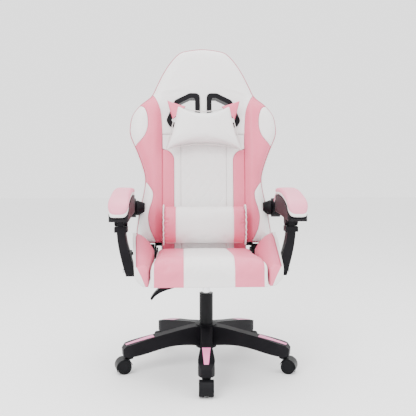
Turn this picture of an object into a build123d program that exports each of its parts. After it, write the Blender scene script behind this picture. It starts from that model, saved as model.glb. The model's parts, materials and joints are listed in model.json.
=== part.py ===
from build123d import *
import math
import os

# Gaming chair on a five-leg base with casters. Millimetres, +Z up, the sitter faces -Y.
# Origin: on the floor, on the axis of the gas lift column.

# --- base, casters and column ---------------------------------------------------------------
LEG_COUNT = 5
BASE_TURN = -2.3            # the base stands turned a little under the seat, degrees
HUB_R = 38.0
HUB_BOTTOM, HUB_TOP = 67.0, 152.0
COLUMN_R = 25.0
COLUMN_BOTTOM, COLUMN_TOP = 62.0, 267.0
COLUMN_WALL = 3.0
LEG_TOP = [(30, 149), (60, 147), (120, 137), (200, 123), (300, 101), (312, 88)]
LEG_BOTTOM = [(310, 62), (270, 62), (215, 70), (144, 82), (73, 82), (30, 76)]
LEG_HALF_WIDTH = [(30, 22), (60, 20), (120, 18), (200, 21), (262, 26.5), (296, 25), (312, 16)]
INSERT_START, INSERT_END = 200.0, 300.0
INSERT_HALF_IN, INSERT_HALF_OUT = 14.3, 7.7
INSERT_DEPTH, INSERT_PROUD = 1.6, 0.8
STEM_R, STEM_RADIUS = 5.5, 288.0
STEM_TOP, STEM_BOTTOM = 88.0, 46.0
WHEEL_R, WHEEL_WIDTH, WHEEL_GAP = 25.0, 18.0, 12.0
TRAIL = 20.0
AXLE_R = 3.0
HOOD_R, HOOD_WALL = 28.7, 2.5
BOSS_R, BOSS_TOP, BOSS_BOTTOM = 15.0, 61.0, 50.5
RUN = 0.05                  # radial running clearance of a shaft in its bore

# --- gas lift -------------------------------------------------------------------------------
LIFT_R, LIFT_WALL = 14.0, 2.0
LIFT_BOTTOM, LIFT_TOP = 90.0, 317.0
ROD_R, ROD_HEAD_R = 5.0, 11.9
ROD_BOTTOM, ROD_HEAD_BOTTOM, ROD_HEAD_TOP = 57.0, 290.0, 300.0
BEARING_Z, RACE, BALL_R, BALL_PITCH_R, BALL_COUNT = 66.0, 2.0, 1.5, 12.0, 10
VALVE_R, VALVE_BOTTOM, VALVE_TOP = 3.5, 307.5, 324.7

# --- mechanism and lift lever ---------------------------------------------------------------
BOX_X, BOX_Y, BOX_BOTTOM, BOX_WALL = 55.0, 60.0, 299.0, 3.0
PLATE_Z, PLATE_T = 335.0, 5.0
PLATE_X, PLATE_Y = 85.0, (-100.0, 90.0)
BOLT_R, BOLT_HEAD_R, BOLT_HEAD = 4.0, 7.0, 5.0
LEVER_Z, LEVER_R = 329.0, 4.0
LEVER_PATH = [(3, 0, LEVER_Z), (-68, 0, LEVER_Z), (-120, 0, 299), (-150, 0, 287)]
LEVER_BEND = 14.0
GUIDE_WALL = 5.0
PADDLE_HALF = 17.0
PADDLE_TOP = [(-104, 318), (-150, 300), (-184, 276), (-205, 248)]
PADDLE_UNDER = [(-199, 243), (-176, 266), (-145, 280), (-112, 290)]

# --- seat -----------------------------------------------------------------------------------
SEAT_HALF, SEAT_BACK = 195.0, 150.0
RAIL_IN, RAIL_OUT, RAIL_BOTTOM, RAIL_TOP, RAIL_WALL = 161.0, 184.0, 340.0, 365.0, 2.0
RAIL_FRONT = -235.0
CROSS_RAILS = [-235.0, -95.0, 60.0, 127.0]
WEB_T, WEB_W = 2.0, 50.0
WEB_STARTS = [-185.0, -115.0, -45.0, 25.0]
SEAT_PROFILE = [(-265, 340), (-265, 398), (-246, 422), (-205, 430), (150, 410), (150, 340)]
WING_REAR = [(197, 345), (243, 345), (272, 420), (284, 478), (250, 468), (197, 408)]
WING_HIP = [(197, 343), (236, 343), (268, 415), (278, 474), (244, 464), (197, 409)]
WING_MID = [(197, 340), (234, 340), (266, 410), (276, 466), (246, 460), (197, 410)]
WING_FRONT = [(197, 340), (216, 340), (238, 366), (243, 400), (226, 408), (197, 398)]
WING_Y = (148.0, 112.0, 70.0, -250.0)

# --- recline hinge --------------------------------------------------------------------------
HINGE_Y, HINGE_Z = 195.0, 385.0
SEAT_EAR, BACK_EAR = (184.0, 189.0), (191.0, 197.0)
EAR_R, PIN_R = 24.0, 6.0
COVER_R, COVER_X = 37.0, (199.0, 255.0)
GRIP_X = (288.0, 298.0)
GRIP_LENGTH = 100.0

# --- backrest (sizes in its own leaning plane: u across, v up, n forward) --------------------
BACK_LEAN = 10.0
BACK_TOP, BACK_FOOT = 845.0, 8.0
BACK_FOOT_HALF = 172.0
BACK_SIDE = [(0, BACK_TOP), (72, 836), (104, 821), (138, 782), (168, 733), (191, 685), (213, 642),
             (256, 606), (290, 562), (304, 510), (303, 478), (293, 450), (272, 401), (249, 335),
             (242, 290), (250, 232), (264, 172), (269, 130), (275, 90), (270, 60), (248, 42)]
CORE_T, REAR_T, CENTRE_T, BOLSTER_T = 30.0, 17.0, 30.0, 46.0
BOLSTER_IN = 166.0
BACK_TUBE_R, BACK_TUBE_N = 11.0, -14.0
BACK_TUBE_PATH = [(180, 30), (180, 250), (205, 470), (150, 640), (110, 760), (-110, 760),
                  (-150, 640), (-205, 470), (-180, 250), (-180, 30)]
BACK_TUBE_BEND = 60.0
CROSS_TUBES = [70.0, 330.0]
HOLE = [(14, 508), (14, 650), (56, 650), (116, 620), (151, 536), (136, 508)]
HOLE_BEND, RIM_WIDTH, RIM_REAR_WIDTH, RIM_BEND = 18.0, 20.0, 8.0, 8.0
RIM_N = (-48.0, 33.0)

# --- cushions on the backrest ----------------------------------------------------------------
PILLOW_HALF, PILLOW_V, PILLOW_T = 152.0, (404.0, 594.0), 78.0
EAR_BASE = [(90, 594), (128, 560)]
EAR_TIP = (143, 614)
LUMBAR_HALF, LUMBAR_V, LUMBAR_N = 172.0, 108.0, 76.0
LUMBAR_RISE, LUMBAR_DEPTH = 86.0, 50.0
STRAP_T, STRAP_V, STRAP_U = 1.5, (545.0, 575.0), 36.0

# --- linkage armrests --------------------------------------------------------------------------
POST_PIVOT = (-40.0, 357.0)          # y, z of the post's lower pin
ARM_LINK = (5.0, 182.0)              # hinge to arm hub, and lower pin to upper pin
POST_HALF_Y = 22.0
POST_INNER = [(258, 340), (267, 396), (280, 444), (289, 500)]
POST_OUTER = [(319, 500), (313, 444), (303, 396), (288, 340)]
TONGUE_X, TONGUE_R = (295.0, 316.0), 19.0
COLLAR_X, COLLAR_Z, COLLAR_HALF_Y = (283.0, 328.0), (497.0, 516.0), 24.0
CHEEK_T, CHEEK_R = 10.0, 21.0
POST_PIN_R, ARM_PIN_R, ARM_HUB_PIN_R = 5.0, 4.0, 5.0
HUB_X, ARM_HUB_R = (272.0, 305.0), 38.0
ARM_X, ARM_REAR_X = (262.0, 332.0), (276.0, 322.0)
ARM_TOP = [(-222, 568), (-206, 600), (-150, 629), (-70, 647), (10, 652), (90, 645), (150, 622),
           (186, 596)]
ARM_SEAM = [(178, 574), (140, 600), (90, 619), (10, 627), (-70, 621), (-150, 600), (-214, 558)]
ARM_UNDER = [(-204, 548), (-150, 552), (-70, 557), (0, 560), (90, 562), (178, 560)]


# --- helpers ------------------------------------------------------------------------------------
def block(x, y, z):
    """A box between the corner pairs x, y and z."""
    middle = Pos((x[0] + x[1]) / 2, (y[0] + y[1]) / 2, (z[0] + z[1]) / 2)
    return middle * Box(x[1] - x[0], y[1] - y[0], z[1] - z[0])


def rod_x(radius, x, y, z):
    """A round bar along X."""
    return Pos((x[0] + x[1]) / 2, y, z) * Rot(0, 90, 0) * Cylinder(radius, x[1] - x[0])


def rod_z(radius, z, x=0.0, y=0.0):
    """A round bar along Z."""
    return Pos(x, y, (z[0] + z[1]) / 2) * Cylinder(radius, z[1] - z[0])


def side_slab(points, x):
    """A profile in the Y-Z plane, extruded between two X values."""
    return extrude(Plane.YZ.offset(x[0]) * make_face(Polyline(*points, close=True)), x[1] - x[0])


def leaning_plane(n=0.0):
    """The backrest's plane, n forward of the plane through the hinge line."""
    lean = math.radians(BACK_LEAN)
    forward = Vector(0, -math.cos(lean), math.sin(lean))
    plane = Plane(origin=(0, HINGE_Y, HINGE_Z), x_dir=(1, 0, 0), z_dir=forward)
    return plane.offset(n)


def back_slab(face, n):
    """A face in the backrest's plane, extruded between two n values."""
    return extrude(leaning_plane(n[0]) * face, n[1] - n[0])


def mirrored(solid):
    return mirror(solid, about=Plane.YZ)


def group(*solids):
    """Separate solids kept together as one node."""
    return Compound(children=[solid for item in solids for solid in item.solids()])


# --- base ------------------------------------------------------------------------------------------
def leg_band(top_shift, depth):
    """The strip of a leg's side view that lies along its top, as a slab."""
    upper = [(r, z + top_shift) for r, z in LEG_TOP[2:5]]
    lower = [(r, z - depth) for r, z in reversed(LEG_TOP[2:5])]
    face = make_face(Spline(*upper) + Line(upper[-1], lower[0]) + Spline(*lower)
                     + Line(lower[-1], upper[0]))
    return extrude(Plane.XZ * face, HUB_R, both=True)


def insert_plan():
    """Plan outline of a leg's trim insert, as a tall slab."""
    points = [(INSERT_START, -INSERT_HALF_IN), (INSERT_END, -INSERT_HALF_OUT),
              (INSERT_END, INSERT_HALF_OUT), (INSERT_START, INSERT_HALF_IN)]
    return extrude(make_face(Polyline(*points, close=True)), HUB_TOP)


def leg():
    """One leg along +X, with a pocket for its insert and a socket for its caster stem."""
    side = make_face(Spline(*LEG_TOP[:5]) + Line(LEG_TOP[4], LEG_TOP[5])
                     + Line(LEG_TOP[5], LEG_BOTTOM[0]) + Spline(*LEG_BOTTOM)
                     + Line(LEG_BOTTOM[-1], LEG_TOP[0]))
    edge = Spline(*LEG_HALF_WIDTH)
    first, last = LEG_HALF_WIDTH[0], LEG_HALF_WIDTH[-1]
    plan = make_face(edge + mirror(edge, about=Plane.XZ) + Line(first, (first[0], -first[1]))
                     + Line(last, (last[0], -last[1])))
    body = extrude(Plane.XZ * side, HUB_R, both=True) & extrude(plan, HUB_TOP)
    socket = rod_z(STEM_R, (LEG_BOTTOM[0][1] - 1, STEM_TOP), STEM_RADIUS)
    return body - (leg_band(INSERT_PROUD + 1, INSERT_DEPTH) & insert_plan()) - socket


def around(index, solid):
    """Turn a solid made along +X to leg number index."""
    return Rot(0, 0, BASE_TURN - 90 + 360 / LEG_COUNT * index) * solid


def base_nodes():
    one_leg = leg()
    one_insert = leg_band(INSERT_PROUD, INSERT_DEPTH) & insert_plan()
    hub = rod_z(HUB_R, (HUB_BOTTOM, HUB_TOP))
    star = hub - rod_z(COLUMN_R, (COLUMN_BOTTOM, HUB_TOP + 1))
    for i in range(LEG_COUNT):
        star += around(i, one_leg)
    stem = rod_z(STEM_R, (STEM_BOTTOM, STEM_TOP), STEM_RADIUS)
    tube = rod_z(COLUMN_R, (COLUMN_BOTTOM, COLUMN_TOP))
    tube -= rod_z(COLUMN_R - COLUMN_WALL, (BEARING_Z, COLUMN_TOP + 1))
    tube -= rod_z(ROD_R + 1, (COLUMN_BOTTOM - 1, BEARING_Z + 1))
    bush = rod_z(COLUMN_R - COLUMN_WALL, (COLUMN_TOP - 62, COLUMN_TOP))
    bush -= rod_z(LIFT_R + RUN, (COLUMN_BOTTOM, COLUMN_TOP + 1))
    race = rod_z(BALL_PITCH_R + 4, (BEARING_Z, BEARING_Z + RACE))
    race -= rod_z(ROD_R + 1, (BEARING_Z - 1, BEARING_Z + RACE + 1))
    return {
        "base_star": star,
        "leg_inserts": group(*[around(i, one_insert) for i in range(LEG_COUNT)]),
        "caster_stems": group(*[around(i, stem) for i in range(LEG_COUNT)]),
        "column_tube": tube,
        "column_bush": bush,
        "bearing_lower_race": race,
    }


# --- casters ---------------------------------------------------------------------------------------
def across(radius, half, start=0.0):
    """A disc or ring blank on the wheel axle, on the +Y side unless it starts below zero."""
    middle = Pos(STEM_RADIUS + TRAIL, (start + half) / 2, WHEEL_R)
    return middle * Rot(90, 0, 0) * Cylinder(radius, half - start)


def caster_housing():
    """Hood, middle web and stem boss of one caster, on the +X leg."""
    half = WHEEL_GAP / 2 + WHEEL_WIDTH
    web = WHEEL_GAP / 2 - 0.6
    shell = across(HOOD_R, half, -half)
    cavity = across(HOOD_R - HOOD_WALL, half + 1, web)
    shell -= cavity + mirror(cavity, about=Plane.XZ)
    lower = Pos(STEM_RADIUS + TRAIL, 0, WHEEL_R) * Rot(0, 22, 0) * Pos(0, 0, -HOOD_R)
    shell -= lower * Box(HOOD_R * 3, half * 3, HOOD_R * 2 - 6)
    shell += across(WHEEL_R / 2, web, -web)
    shell += rod_z(BOSS_R, (BOSS_BOTTOM, BOSS_TOP), STEM_RADIUS)
    shell -= rod_z(STEM_R + RUN, (STEM_BOTTOM - 0.5, BOSS_TOP + 1), STEM_RADIUS)
    return shell - across(AXLE_R + RUN, half, -half)


def wheel():
    """One wheel on the +Y side: rounded tread and a dished outer face."""
    inner, outer = WHEEL_GAP / 2, WHEEL_GAP / 2 + WHEEL_WIDTH
    disc = across(WHEEL_R, outer, inner)
    disc = fillet(disc.edges().filter_by(GeomType.CIRCLE), 2.5)
    dish = across(WHEEL_R * 0.68, outer + 1, outer - 2)
    return disc - dish - across(AXLE_R, outer + 1, inner - 1)


def caster_nodes():
    housing, near = caster_housing(), wheel()
    far = mirror(near, about=Plane.XZ)
    reach = WHEEL_GAP / 2 + WHEEL_WIDTH - 2
    axle = across(AXLE_R, reach, -reach)
    nodes = {}
    for i in range(LEG_COUNT):
        nodes[f"caster_housing_{i + 1}"] = around(i, housing)
        nodes[f"caster_wheels_{i + 1}"] = group(around(i, near), around(i, far), around(i, axle))
    return nodes


# --- gas lift --------------------------------------------------------------------------------------
def lift_nodes():
    cylinder = rod_z(LIFT_R, (LIFT_BOTTOM, LIFT_TOP))
    cylinder -= rod_z(LIFT_R - LIFT_WALL, (LIFT_BOTTOM + 6, LIFT_TOP - 6))
    cylinder -= rod_z(ROD_R + RUN, (LIFT_BOTTOM - 1, LIFT_BOTTOM + 7))
    cylinder -= rod_z(VALVE_R + RUN, (LIFT_TOP - 7, LIFT_TOP + 1))
    rod = rod_z(ROD_R, (ROD_BOTTOM, ROD_HEAD_BOTTOM))
    rod += rod_z(ROD_HEAD_R, (ROD_HEAD_BOTTOM, ROD_HEAD_TOP))
    upper = BEARING_Z + RACE + 2 * BALL_R + 0.2
    race = rod_z(BALL_PITCH_R + 4, (upper, upper + RACE)) - rod_z(ROD_R, (upper - 1, upper + 9))
    balls = [Rot(0, 0, 360 / BALL_COUNT * i) * Pos(BALL_PITCH_R, 0, upper - BALL_R) * Sphere(BALL_R)
             for i in range(BALL_COUNT)]
    clip = rod_z(ROD_R + 5, (COLUMN_BOTTOM - 3, COLUMN_BOTTOM - 1)) - rod_z(ROD_R, (50, 70))
    return {
        "gas_cylinder": cylinder,
        "piston_rod": rod,
        "thrust_bearing": group(race, *balls),
        "rod_clip": clip,
        "valve_pin": rod_z(VALVE_R, (VALVE_BOTTOM, VALVE_TOP)),
    }


# --- mechanism -------------------------------------------------------------------------------------
def mechanism_nodes():
    box = block((-BOX_X, BOX_X), (-BOX_Y, BOX_Y), (BOX_BOTTOM, PLATE_Z))
    inner_x, inner_y = BOX_X - BOX_WALL, BOX_Y - BOX_WALL
    box -= block((-inner_x, inner_x), (-inner_y, inner_y), (BOX_BOTTOM + BOX_WALL, PLATE_Z + 1))
    box += rod_z(LIFT_R + GUIDE_WALL, (BOX_BOTTOM, LIFT_TOP))
    box -= rod_z(LIFT_R, (BOX_BOTTOM - 1, LIFT_TOP + 1))
    box -= rod_x(LEVER_R + 1, (-BOX_X - 1, -inner_x + 1), 0, LEVER_Z)
    plate = block((-PLATE_X, PLATE_X), PLATE_Y, (PLATE_Z, PLATE_Z + PLATE_T))
    spots = [(side * (PLATE_X - 15), y + RAIL_OUT / 2 - RAIL_IN / 2)
             for side in (-1, 1) for y in CROSS_RAILS[1:3]]
    bolts = [rod_z(BOLT_R, (PLATE_Z, RAIL_BOTTOM + 12), x, y)
             + rod_z(BOLT_HEAD_R, (PLATE_Z - BOLT_HEAD, PLATE_Z), x, y) for x, y in spots]
    plate -= bolts
    path = FilletPolyline(*LEVER_PATH, radius=LEVER_BEND)
    rod = sweep(Plane(origin=path @ 0, z_dir=path % 0) * Circle(LEVER_R), path)
    face = make_face(Spline(*PADDLE_TOP) + Line(PADDLE_TOP[-1], PADDLE_UNDER[0])
                     + Spline(*PADDLE_UNDER) + Line(PADDLE_UNDER[-1], PADDLE_TOP[0]))
    paddle = extrude(Plane.XZ * face, PADDLE_HALF, both=True) - rod
    return {
        "mechanism_housing": box,
        "mechanism_plate": plate,
        "plate_bolts": group(*bolts),
        "lift_lever_rod": rod,
        "lift_lever_paddle": paddle,
    }, bolts


# --- seat ------------------------------------------------------------------------------------------
def rail(x, y):
    """A square tube lying along its longer side."""
    tube = block(x, y, (RAIL_BOTTOM, RAIL_TOP))
    hollow_z = (RAIL_BOTTOM + RAIL_WALL, RAIL_TOP - RAIL_WALL)
    if x[1] - x[0] > y[1] - y[0]:
        return tube - block(x, (y[0] + RAIL_WALL, y[1] - RAIL_WALL), hollow_z)
    return tube - block((x[0] + RAIL_WALL, x[1] - RAIL_WALL), y, hollow_z)


def seat_ear():
    """Steel plate from the seat rail up to the recline pin."""
    outline = [(20, 342), (20, 363), (140, 366), (HINGE_Y - 16, HINGE_Z + 18), (HINGE_Y + 16, 366), (150, 342)]
    plate = side_slab(outline, SEAT_EAR) + rod_x(EAR_R, SEAT_EAR, HINGE_Y, HINGE_Z)
    return plate - rod_x(PIN_R, (180, 200), HINGE_Y, HINGE_Z)


def seat_wing():
    """Bolster on the +X side, tall at the rear and sinking to the front edge."""
    sections = [Plane.XZ.offset(-y) * make_face(Polyline(*points, close=True))
                for y, points in zip(WING_Y, (WING_REAR, WING_HIP, WING_MID, WING_FRONT))]
    return loft(sections, ruled=True)


def arm_bracket():
    """Steel bar under the seat, turned up outside the wing to carry the post."""
    y = (POST_PIVOT[0] - 24, POST_PIVOT[0] + 24)
    bar = block((120, 256), y, (PLATE_Z, PLATE_Z + PLATE_T))
    upright = block((251, 256), y, (PLATE_Z, POST_PIVOT[1] + 20))
    return bar + upright - rod_x(POST_PIN_R, (240, 260), *POST_PIVOT)


def seat_nodes(bolts):
    frame = [rail((side * (RAIL_IN + RAIL_OUT) / 2 - 11.5, side * (RAIL_IN + RAIL_OUT) / 2 + 11.5),
                  (RAIL_FRONT, SEAT_BACK)) for side in (-1, 1)]
    frame += [rail((-RAIL_IN, RAIL_IN), (y, y + RAIL_OUT - RAIL_IN)) for y in CROSS_RAILS]
    frame = frame[0] + frame[1:] - bolts
    webbing = [block((-RAIL_OUT, RAIL_OUT), (y, y + WEB_W), (RAIL_TOP, RAIL_TOP + WEB_T))
               for y in WEB_STARTS]
    ear = seat_ear()
    ears = group(ear, mirrored(ear))
    cushion = side_slab(SEAT_PROFILE, (-SEAT_HALF, SEAT_HALF))
    cushion -= block((-RAIL_OUT, RAIL_OUT), (RAIL_FRONT, SEAT_BACK + 1), (RAIL_BOTTOM - 1, RAIL_TOP + WEB_T))
    cushion = cushion - ear - mirrored(ear)
    wing, bracket = seat_wing(), arm_bracket()
    pin = rod_x(PIN_R, (180, 225), HINGE_Y, HINGE_Z) + rod_x(10, (176, 180), HINGE_Y, HINGE_Z)
    post_pin = rod_x(POST_PIN_R, (249, 297), *POST_PIVOT) + rod_x(8, (297, 300), *POST_PIVOT)
    cover = rod_x(COVER_R, COVER_X, HINGE_Y, HINGE_Z)
    cover = fillet(cover.faces().sort_by(Axis.X)[-1].edges(), 8)
    cover -= rod_x(PIN_R, (198, 225), HINGE_Y, HINGE_Z)
    lever_side = mirrored(cover) - rod_x(7, (-256, -230), HINGE_Y, HINGE_Z)
    return {
        "seat_frame": frame,
        "seat_webbing": group(*webbing),
        "seat_hinge_ears": ears,
        "seat_cushion": cushion,
        "seat_wing_left": wing,
        "seat_wing_right": mirrored(wing),
        "arm_brackets": group(bracket, mirrored(bracket)),
        "recline_pins": group(pin, mirrored(pin)),
        "post_pins": group(post_pin, mirrored(post_pin)),
        "hinge_cover_left": cover,
        "hinge_cover_right": lever_side,
    }


def recline_lever():
    """Hand lever on the sitter's right, on the axis of the recline pin."""
    shaft = rod_x(6.5, (-GRIP_X[0], -230), HINGE_Y, HINGE_Z)
    tip = HINGE_Y - GRIP_LENGTH
    outline = [(HINGE_Y + 14, 378), (HINGE_Y + 8, 398), (tip + 30, 392), (tip, 388), (tip, 378),
               (tip + 30, 376)]
    grip = side_slab(outline, (-GRIP_X[1], -GRIP_X[0]))
    grip += rod_x(14, (-GRIP_X[1], -GRIP_X[0]), HINGE_Y, HINGE_Z)
    return {"recline_lever": grip + shaft}


# --- backrest --------------------------------------------------------------------------------------
def back_face():
    """The whole backrest's outline, with a narrow foot between the hinges."""
    right = Spline(*BACK_SIDE, tangents=[(1, 0), (-1, -0.3)])
    heel = BACK_SIDE[-1]
    right += Polyline(heel, (BACK_FOOT_HALF, heel[1]), (BACK_FOOT_HALF, BACK_FOOT))
    return make_face(right + mirror(right, about=Plane.YZ)
                     + Line((BACK_FOOT_HALF, BACK_FOOT), (-BACK_FOOT_HALF, BACK_FOOT)))


def bolster_zone():
    """Everything outside the seam between the centre and the +X bolster."""
    seam = Spline((BOLSTER_IN, 500), (171, 560), (186, 606), (214, 640))
    far = BACK_TOP / 2
    return make_face(Line((BOLSTER_IN, 0), (BOLSTER_IN, 500)) + seam
                     + Polyline((214, 640), (far, 640), (far, 0), (BOLSTER_IN, 0)))


def hole_faces():
    """Outer outline of the moulded rim on the +X side, and its opening at the front and the rear."""
    outer = make_face(Polyline(*HOLE, close=True))
    front, rear = (offset(outer, amount=-width, kind=Kind.INTERSECTION)
                   for width in (RIM_WIDTH, RIM_REAR_WIDTH))
    return fillet(outer.vertices(), HOLE_BEND), fillet(front.vertices(), RIM_BEND), \
        fillet(rear.vertices(), RIM_BEND)


def back_tubes():
    """Bent tube hoop with two cross tubes and a lug on each side for the armrest."""
    plane = leaning_plane(BACK_TUBE_N)
    path = plane * FilletPolyline(*BACK_TUBE_PATH, radius=BACK_TUBE_BEND)
    hoop = sweep(Plane(origin=path @ 0, z_dir=path % 0) * Circle(BACK_TUBE_R), path)
    for v in CROSS_TUBES:
        half = BACK_TUBE_PATH[0][0] if v < 250 else 189
        hoop += plane * Pos(0, v, 0) * Rot(0, 90, 0) * Cylinder(BACK_TUBE_R - 2, 2 * half)
    return hoop


def arm_hub_point():
    return HINGE_Y + ARM_LINK[0], HINGE_Z + ARM_LINK[1]


def arm_lug():
    """Plate from the hoop forward to the armrest bolt, on the +X side."""
    y, z = arm_hub_point()
    plate = block((188, 194), (y - 12, y + 34), (z - 14, z + 14))
    return plate - rod_x(ARM_HUB_PIN_R, (180, 200), y, z)


def back_ear():
    """Steel plate beside the hoop's foot, with the bore for the recline pin."""
    strap = side_slab([(HINGE_Y - 12, HINGE_Z), (HINGE_Y + 24, HINGE_Z), (HINGE_Y + 48, HINGE_Z + 130),
                       (HINGE_Y + 24, HINGE_Z + 130)], BACK_EAR)
    plate = strap + rod_x(EAR_R, BACK_EAR, HINGE_Y, HINGE_Z)
    return plate - rod_x(PIN_R + RUN, (180, 200), HINGE_Y, HINGE_Z)


def lumbar_roll():
    """Half-round roll lying across the small of the back."""
    section = Pos(LUMBAR_N, LUMBAR_V) * Ellipse(LUMBAR_DEPTH, LUMBAR_RISE)
    behind = 4 * LUMBAR_DEPTH
    section -= Pos(BOLSTER_T + 0.5 - behind / 2, LUMBAR_V) * Rectangle(behind, 4 * LUMBAR_RISE)
    end = Plane(origin=(LUMBAR_HALF, HINGE_Y, HINGE_Z), x_dir=leaning_plane().z_dir, z_dir=(-1, 0, 0))
    return extrude(end * section, 2 * LUMBAR_HALF)


def back_nodes():
    face, zone = back_face(), bolster_zone()
    rim_outer, rim_front, rim_rear = hole_faces()
    hole = back_slab(rim_outer, (RIM_N[0] - 2, RIM_N[1] + 2))
    holes = [hole, mirrored(hole)]
    tubes = back_tubes()
    ear, lug = back_ear(), arm_lug()
    y, z = arm_hub_point()
    bolt = rod_x(ARM_HUB_PIN_R, (182, 308), y, z) + rod_x(9, (308, 312), y, z)
    core = back_slab(face, (-CORE_T, 0))
    for steel in (hole, mirrored(hole), tubes, ear, mirrored(ear), lug, mirrored(lug)):
        core -= steel
    rear = back_slab(face, (-CORE_T - REAR_T, -CORE_T))
    for steel in (hole, mirrored(hole), ear, mirrored(ear), lug, mirrored(lug)):
        rear -= steel
    zone_slab = back_slab(zone, (0, BOLSTER_T))
    front = back_slab(face, (0, BOLSTER_T))
    bolster = (front & zone_slab) - [lug, bolt, ear]
    centre = back_slab(face, (0, CENTRE_T)) - zone_slab - mirrored(zone_slab) - holes
    passage = loft([leaning_plane(RIM_N[0]) * rim_rear, leaning_plane(RIM_N[1]) * rim_front])
    rim = back_slab(rim_outer, RIM_N) - passage
    frame = tubes + [lug, mirrored(lug)]
    return {
        "back_frame": frame - ear - mirrored(ear),
        "back_hinge_ears": group(ear, mirrored(ear)),
        "arm_hub_bolts": group(bolt, mirrored(bolt)),
        "back_core": core,
        "back_rear_cover": rear,
        "back_centre_pad": centre,
        "back_bolster_left": bolster,
        "back_bolster_right": mirrored(bolster),
        "head_rim_left": rim,
        "head_rim_right": mirrored(rim),
        "lumbar_cushion": lumbar_roll(),
    }


def pillow_nodes():
    """Head pillow with two ears, and the elastic strap through the openings."""
    low, high = PILLOW_V
    body = Pos(0, (low + high) / 2) * Rectangle(2 * PILLOW_HALF, high - low)
    body = fillet(body.vertices(), 22)
    pillow = back_slab(body, (RIM_N[1], RIM_N[1] + PILLOW_T))
    ear = make_face(Polyline(EAR_BASE[0], EAR_TIP, EAR_BASE[1], (100, 560), close=True))
    ear = back_slab(ear, (RIM_N[1] + 28, RIM_N[1] + 50))
    rear = RIM_N[0] - STRAP_T
    v = STRAP_V
    leg_face = Pos(STRAP_U + STRAP_T / 2, sum(v) / 2) * Rectangle(STRAP_T, v[1] - v[0])
    leg_band_solid = back_slab(leg_face, (rear, RIM_N[1]))
    run_face = Pos(0, sum(v) / 2) * Rectangle(2 * STRAP_U, v[1] - v[0])
    strap = back_slab(run_face, (rear, RIM_N[0])) + leg_band_solid + mirrored(leg_band_solid)
    return {"head_pillow": pillow + ear + mirrored(ear), "pillow_strap": strap}


# --- armrests --------------------------------------------------------------------------------------
def upper_pin_point():
    return POST_PIVOT[0] + ARM_LINK[0], POST_PIVOT[1] + ARM_LINK[1]


def arm_plan(margin):
    """Plan outline of the armrest: broad at the front, drawn in at the rear."""
    x0, x1 = ARM_X[0] + margin, ARM_X[1] - margin
    r0, r1 = ARM_REAR_X[0], ARM_REAR_X[1] - margin
    nose = ARM_TOP[0][0] + margin
    outline = make_face(Polyline((x0, nose), (x1, nose), (x1, 40), (r1, 130), (r1, 250), (r0, 250),
                                 (r0, 110), (x0, 60), close=True))
    front = outline.vertices().sort_by(Axis.Y)[:2]
    return extrude(Pos(0, 0, 480) * fillet(front, 30), 200)


def arm_nodes(side):
    """Pad, shell, pins and post of the armrest on the +X side, or mirrored."""
    wide = (ARM_X[0] - 5, ARM_X[1] + 5)
    qy, qz = upper_pin_point()
    hy, hz = arm_hub_point()
    pad = make_face(Spline(*ARM_TOP) + Line(ARM_TOP[-1], ARM_SEAM[0]) + Spline(*ARM_SEAM)
                    + Line(ARM_SEAM[-1], ARM_TOP[0]))
    pad = extrude(Plane.YZ.offset(wide[0]) * pad, wide[1] - wide[0]) & arm_plan(0)
    shell = make_face(Spline(*ARM_SEAM) + Line(ARM_SEAM[-1], ARM_UNDER[0]) + Spline(*ARM_UNDER)
                      + Line(ARM_UNDER[-1], ARM_SEAM[0]))
    shell = extrude(Plane.YZ.offset(wide[0]) * shell, wide[1] - wide[0]) & arm_plan(2)
    hub = rod_x(ARM_HUB_R, HUB_X, hy, hz) - pad
    shell += hub
    cheek_block = block((COLLAR_X[0], COLLAR_X[1]), (qy - CHEEK_R, qy + CHEEK_R), (qz, qz + CHEEK_R))
    shell += cheek_block + rod_x(CHEEK_R, COLLAR_X, qy, qz)
    slot_x = (COLLAR_X[0] + CHEEK_T, COLLAR_X[1] - CHEEK_T)
    shell -= block(slot_x, (qy - CHEEK_R - 6, qy + CHEEK_R + 6), (qz - CHEEK_R - 1, qz + TONGUE_R + 6))
    shell -= rod_x(ARM_PIN_R, (COLLAR_X[0] + 2, COLLAR_X[1] - 2), qy, qz)
    shell -= rod_x(ARM_HUB_PIN_R + RUN, (HUB_X[0] - 1, HUB_X[1] + 1), hy, hz)
    pin = rod_x(ARM_PIN_R, (COLLAR_X[0] + 2, COLLAR_X[1] - 2), qy, qz)
    inner, outer = Spline(*POST_INNER), Spline(*POST_OUTER)
    face = make_face(inner + Line(POST_INNER[-1], POST_OUTER[0]) + outer
                     + Line(POST_OUTER[-1], POST_INNER[0]))
    middle = (POST_PIVOT[0] + qy) / 2
    post = extrude(Plane.XZ.offset(-middle) * face, POST_HALF_Y, both=True)
    post += block(COLLAR_X, (qy - COLLAR_HALF_Y, qy + COLLAR_HALF_Y), COLLAR_Z)
    post += block(TONGUE_X, (qy - TONGUE_R, qy + TONGUE_R), (COLLAR_Z[1] - 1, qz))
    post += rod_x(TONGUE_R, TONGUE_X, qy, qz)
    post -= rod_x(ARM_PIN_R + 0.3, TONGUE_X, qy, qz)
    post -= rod_x(POST_PIN_R + RUN, (250, 300), *POST_PIVOT)
    parts = {"arm_pad": pad, "arm_shell": shell, "arm_pin": pin, "arm_post": post}
    turned = {name: solid if side == "left" else mirrored(solid) for name, solid in parts.items()}
    return {f"{name}_{side}": solid for name, solid in turned.items()}


# --- build -----------------------------------------------------------------------------------------
def build():
    mechanism, bolts = mechanism_nodes()
    nodes = {**base_nodes(), **caster_nodes(), **lift_nodes(), **mechanism, **seat_nodes(bolts)}
    nodes.update({**recline_lever(), **back_nodes(), **pillow_nodes()})
    for side in ("left", "right"):
        nodes.update(arm_nodes(side))
    return nodes


os.makedirs("parts", exist_ok=True)
for node_name, node_shape in build().items():
    export_step(node_shape, f"parts/{node_name}.step")
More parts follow.
